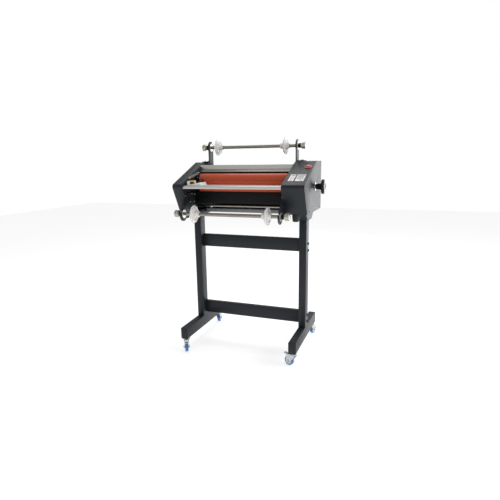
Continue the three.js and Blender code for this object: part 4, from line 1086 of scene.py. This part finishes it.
# %% Handwheel
low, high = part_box("pressure_handwheel")
axis = Vector(joint["handwheel_turn"]["pos_m"])
outer_x = high.x
LOBE = [(0, 6), (0, 9.0), (0.7, 12.0), (2.4, 14.4), (5.0, 15.8), (9.0, 16.0), (13.0, 15.8),
        (15.6, 14.4), (17.3, 12.0), (18.0, 9.0), (18.0, 6)]
HUB = [(-31, 12.4), (-30.2, 13.6), (-22, 14.6), (-8, 16.2), (-3, 18.0), (0.5, 21.5), (3.5, 26.0),
       (6.0, 28.0), (9.0, 28.6), (12.0, 28.0), (14.5, 26.0), (16.4, 22.0),
       (16.8, 14.0), (16.0, 12.6), (15.6, 11.2), (15.8, 4.0)]
back_face = Vector((outer_x - 18 * MM, axis.y, axis.z))
pieces = [turned("hub", HUB, back_face, ALONG_X, sides=64)]
for angle in (0, 120, 240):
    out = 25 * MM
    centre = back_face + Vector((0, out * math.cos(math.radians(angle)), out * math.sin(math.radians(angle))))
    pieces.append(turned("lobe", LOBE, centre, ALONG_X, sides=40))
handwheel = joined("pressure_handwheel_moulded", pieces)
finished(handwheel, "pressure_shaft", BLACK_GLOSS, "black_abs", "pressure_handwheel", smooth=45)

DIAL = [(0.0, 8.8), (0.0, 22.4), (0.6, 23.0), (2.2, 23.0), (2.8, 22.2), (2.8, 19.6), (2.2, 19.2),
        (2.2, 10.4), (2.0, 8.8)]
cover_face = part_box("right_cover")[1].x
dial = ring("nip_dial_ring", DIAL, (cover_face + 0.25 * MM, axis.y, axis.z), ALONG_X, sides=72)
finished(dial, "machine", SILVER_ANODISED, "silver_anodised", smooth=30)
softened("pressure_shaft", 0.4, "pressure_shaft", BRIGHT_STEEL, "bright_steel")
print("handwheel: three lobes on a hub", round((outer_x - cover_face) / MM, 1), "mm proud of the housing")

# %% [markdown]
# ## What the housings hide
#
# The bearing blocks, the drive pinion and the gear motor sit inside the housings and show only
# through gaps. They keep the frame's shapes with softened edges.

# %% Inside the housings
for node, body in (("left_bearing_block", "bearing_blocks"), ("right_bearing_block", "bearing_blocks"),
                   ("drive_pinion", "drive_pinion"), ("gear_motor", "machine")):
    softened(node, 0.3, body, BRIGHT_STEEL, "bright_steel")

# %% [markdown]
# ## Feed guide
#
# The sheet is fed along a white guide that slides on the table and is clamped by a black thumb
# screw. A small end stop with a yellow marker stands at its outer end.

# %% Feed guide and thumb screw
softened("paper_guide", 0.5, "paper_guide", WHITE_ENAMEL, "white_enamel")
low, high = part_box("paper_guide")
stop = block("guide_end_stop", (low.x + 15.5 * MM, low.y + 2 * MM, low.z + 7.2 * MM),
             (low.x + 35 * MM, low.y + 15 * MM, low.z + 17 * MM))
faces_where(stop, lambda c, n: n.z > 0.9)
bpy.ops.mesh.inset(thickness=1.6 * MM)
bpy.ops.mesh.extrude_region_move(TRANSFORM_OT_translate={"value": (0, 0, 2 * MM)})
object_mode()
apply_modifier(stop, "BEVEL", width=0.5 * MM, segments=2, limit_method="ANGLE")
finished(stop, "paper_guide", BLACK_ABS, "black_abs")
marker = block("guide_marker", (low.x + 15.8 * MM, low.y + 1.6 * MM, low.z + 19.1 * MM),
               (low.x + 36.5 * MM, low.y + 14 * MM, low.z + 27 * MM))
faces_where(marker, lambda c, n: n.z > 0.9)
marker_top = (low.x + 26 * MM, low.y + 8 * MM, low.z + 27 * MM)
bpy.ops.transform.resize(value=(0.9, 0.8, 1), center_override=marker_top)
object_mode()
apply_modifier(marker, "BEVEL", width=0.8 * MM, segments=3, limit_method="ANGLE")
finished(marker, "paper_guide", YELLOW_ABS, "white_enamel")

low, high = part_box("guide_thumb_screw")
screw_place = Vector(((low.x + high.x) / 2, (low.y + high.y) / 2, high.z))
GRIPS = 12
thumb = swept("guide_thumb_screw_moulded", [
    (-31.9, 1.0), (-31.9, 3.9), (-31.4, 4.4), (-18.0, 4.4), (-18.0, 7.4), (-16.6, 8.4), (-15.8, 8.6),
    (-2.4, 8.6), (-0.9, 8.0), (-0.2, 6.2), (-0.2, 1.5)], GRIPS * 2, "NGON")
skin_closed(weld=False)


def on_grip(centre, normal):
    turn = math.atan2(centre.y, centre.x) / (2 * math.pi) * GRIPS
    return -15 * MM < centre.z < -3 * MM and abs(normal.z) < 0.1 and (turn % 1.0) < 0.5


faces_where(thumb, on_grip)
bpy.ops.mesh.inset(use_individual=True, thickness=0.3 * MM, depth=0.4 * MM)
object_mode()
put(thumb, screw_place)
finished(thumb, "guide_thumb_screw", BLACK_ABS, "black_abs", "guide_thumb_screw", smooth=25)
print("feed guide:", round((screw_place.x - LEFT_WALL) / MM, 1), "mm from the left side plate to the screw")

# %% [markdown]
# A flat steel stay with round ends runs along the left side plate, from beside the table up to the top bar.
# It holds the film guard when one is fitted. Its grey coat, lighter than the anthracite side plate, is partly
# a painted highlight: it stands in for the light that this strip of the side plate catches.

# %% The stay on the left side plate
bar_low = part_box("top_guide_bar")[0]
STAY_LENGTH, STAY_WIDTH, STAY_THICKNESS, STAY_RISE = 128.0, 12.0, 3.5, 12.5
half = STAY_LENGTH / 2
stay = block("left_stay", (-STAY_THICKNESS / 2 * MM, -half * MM, -STAY_WIDTH / 2 * MM),
             (STAY_THICKNESS / 2 * MM, half * MM, STAY_WIDTH / 2 * MM))
corners_rounded(stay, 0, STAY_WIDTH * 0.48, 8)
apply_modifier(stay, "BEVEL", width=0.4 * MM, segments=2, limit_method="ANGLE", angle_limit=math.radians(50))
stay_x = LEFT_WALL + (STAY_THICKNESS / 2 + 0.5) * MM
stay_middle = Vector((stay_x, bar_low.y - 67 * MM, bar_low.z - 15 * MM))
put(stay, stay_middle, (STAY_RISE, 0, 0))
# The grey coat is partly a painted highlight, lighter than the plate to stand in for the light on this strip.
finished(stay, "machine", PAN_GREY, "grey_powder_coat", smooth=30)
cap = cap_screw(4.6)
along = Vector((0, math.cos(math.radians(STAY_RISE)), math.sin(math.radians(STAY_RISE))))
outer_face = Vector((STAY_THICKNESS / 2 * MM, 0, 0))
ends = [stay_middle + along * share * (half - 8) * MM + outer_face for share in (-1, 1)]
set_out("left_stay_screws", cap, ends, RIGHT, "machine", ZINC, "zinc_plate")
thrown_away(cap)
print("stay:", STAY_LENGTH, "mm long")

# %% [markdown]
# ## Control panel
#
# The keypad is two printed films side by side on the operator's slope. Each is a thin sheet with
# rounded corners. Headers, keys and the display window are thinner sheets that lie on it. They are
# laid out flat, with X across, Y up the slope and Z out of it, and then the whole panel is turned
# onto the slope. The slope comes from the emergency stop, whose plunger travels square to it.

# %% The slope's own axes
inward = Vector(joint["estop_press"]["axis"]).normalized()
NORMAL = -inward
SLOPE_ANGLE = math.degrees(math.atan2(-NORMAL.y, NORMAL.z))
UP_SLOPE = Vector((0, NORMAL.z, -NORMAL.y))
panel_middle = middle("control_panel")
PANEL_SEAT = panel_middle - NORMAL * 1.05 * MM          # on the painted slope, under the film's middle
panel_low, panel_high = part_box("control_panel")
PANEL_WIDTH = (panel_high.x - panel_low.x) / MM
PANEL_LENGTH = 77.0


def film(name, x, y, width, length, corner, thickness, lift):
    """A flat sheet with rounded corners, from its lower left corner, on the panel's own plane."""
    x0, y0 = x - PANEL_WIDTH / 2, y - PANEL_LENGTH / 2
    sheet = block(name, (x0 * MM, y0 * MM, lift * MM),
                  ((x0 + width) * MM, (y0 + length) * MM, (lift + thickness) * MM))
    corners_rounded(sheet, 2, corner, 5)
    return put(sheet, PANEL_SEAT, (SLOPE_ANGLE, 0, 0))


def films(name, rows, thickness, lift, material):
    """Several sheets of one finish as one piece: rows of x, y, width, length and corner radius."""
    sheets = [film(name, *row, thickness, lift) for row in rows]
    return finished(joined(name, sheets), "machine", material, "printed_overlay", smooth=20)


# %% [markdown]
# Each row below gives a sheet's left and lower edge, its width, length and corner radius. After the
# rows come the sheet's thickness, its lift off the slope and its colour.

# %% The two films with their headers and keys
LEFT_WIDTH = 27.0
GAP_WIDTH = 8.0
RIGHT_START = LEFT_WIDTH + GAP_WIDTH
RIGHT_WIDTH = PANEL_WIDTH - RIGHT_START
sheets = films("keypad_films", [
    (0, 0, LEFT_WIDTH, PANEL_LENGTH, 3),
    (RIGHT_START, 0, RIGHT_WIDTH, PANEL_LENGTH, 3)], 1.0, 0.3, PRINT_WHITE)
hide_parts("control_panel")
films("keypad_headers", [
    (4, 61.5, LEFT_WIDTH - 6, 11.5, 2),
    (RIGHT_START + 2.5, 61.5, RIGHT_WIDTH - 5, 12, 2)], 0.18, 1.3, PRINT_SLATE)
films("keypad_pale_fields", [
    (RIGHT_START + 4, 17, RIGHT_WIDTH - 8, 41, 2)], 0.12, 1.3, PRINT_PALE)
films("keypad_display", [(RIGHT_START + 7, 41, RIGHT_WIDTH - 14, 12, 1.5)], 0.5, 1.42, PRINT_GREY)
films("keypad_digits", [
    (RIGHT_START + 12 + i * 7, 43, 4, 8, 0.6) for i in range(3)], 0.1, 1.92, PRINT_SLATE)
films("keypad_grey_keys", [
    (RIGHT_START + 6.5 + i * 11, 22, 7.5, 12, 3) for i in range(3)], 0.5, 1.42, PRINT_GREY)
films("keypad_red_keys", [
    *[(x, y, 8.5, 15, 4) for y in (40, 20) for x in (4, 14.5)],
    (6, 4, 15, 5, 2), (RIGHT_START + 23, 3.5, 12, 11, 4)], 0.4, 1.3, PRINT_RED)
films("keypad_key_faces", [
    *[(x, y, 5.3, 11, 2.4) for y in (42, 22) for x in (5.6, 16.1)],
    (RIGHT_START + 26, 6.5, 6, 5, 2)], 0.15, 1.7, PRINT_WHITE)
print("control panel:", round(PANEL_WIDTH), "x", PANEL_LENGTH, "mm at", round(SLOPE_ANGLE, 1), "degrees")

# %% [markdown]
# ## Emergency stop
#
# A low red plunger in a bezel. The bezel's salmon colour is partly a painted highlight: it stands in for the
# light that the red rim catches. The plunger is pressed straight in along the slope's normal.
# Its crown has a shallow dish and three raised arrows that show the way it turns.

# %% Emergency stop
estop_x = middle("estop_button").x
BEZEL_UP = 132.0               # up the slope from the panel's middle
estop_seat = PANEL_SEAT + UP_SLOPE * BEZEL_UP * MM
estop_seat.x = estop_x
ON_SLOPE = (SLOPE_ANGLE, 0, 0)
R = 12.3
plunger = turned("estop_plunger", [
    (-15.8, 8), (-15.8, R - 1.2), (-14.8, R), (4.6, R), (6.6, R - 0.5), (7.8, R - 1.8), (8.6, R - 4.0),
    (8.8, R - 5.4), (8.2, R - 7.0), (7.8, R - 9.5), (7.7, 2.0)], estop_seat, ON_SLOPE, sides=64)
finished(plunger, "estop_button", RED_NYLON, "red_nylon", "estop_button", smooth=40)
bezel = ring("estop_bezel", [
    (0.2, 13.1), (0.2, 18.3), (0.8, 18.8), (2.2, 18.8), (3.6, 17.9), (4.2, 16.6), (4.2, 14.6),
    (3.6, 13.4), (3.0, 13.1)],
    estop_seat, ON_SLOPE, sides=72)
# The bezel's salmon colour is partly a painted highlight of the red rim catching the light.
finished(bezel, "machine", BEZEL_PAINTED_HIGHLIGHT, "red_nylon", smooth=40)
arrows = []
for angle in (0, 120, 240):
    arrow = block("arrow", (-2.2 * MM, 4.4 * MM, 7.4 * MM), (2.2 * MM, 6.2 * MM, 8.3 * MM))
    faces_where(arrow, lambda c, n: n.x > 0.9)
    bpy.ops.transform.resize(value=(1, 0.2, 1), center_override=(2.2 * MM, 5.3 * MM, 8 * MM))
    object_mode()
    put(arrow, (0, 0, 0), (0, 0, angle))
    arrows.append(put(arrow, estop_seat, ON_SLOPE))
finished(joined("estop_arrows", arrows), "estop_button", PRINT_WHITE, "red_nylon")
print("emergency stop: seat at", [round(v, 4) for v in estop_seat])

# %% [markdown]
# ## Small things that finish it
#
# A small amber plug closes a hole in the lip of the top bar.

# %% The amber plug
bar_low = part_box("top_guide_bar")[0]
plug = turned("lip_plug", [(-0.4, 2.4), (0.2, 3.0), (0.9, 2.8), (1.4, 2.0), (1.6, 0.8)],
              (-0.05, bar_low.y - 0.2 * MM, bar_low.z + 3.4 * MM), (90, 0, 0), sides=24)
finished(plug, "machine", YELLOW_ABS, "silver_anodised", smooth=60)

# %% [markdown]
# Every frame part has a finished piece in its place by now, so none of them still shows.

# %% Frame parts that still show
print("frame parts still shown:", [name for name, node in frame["nodes"].items() if not node.hide_render])
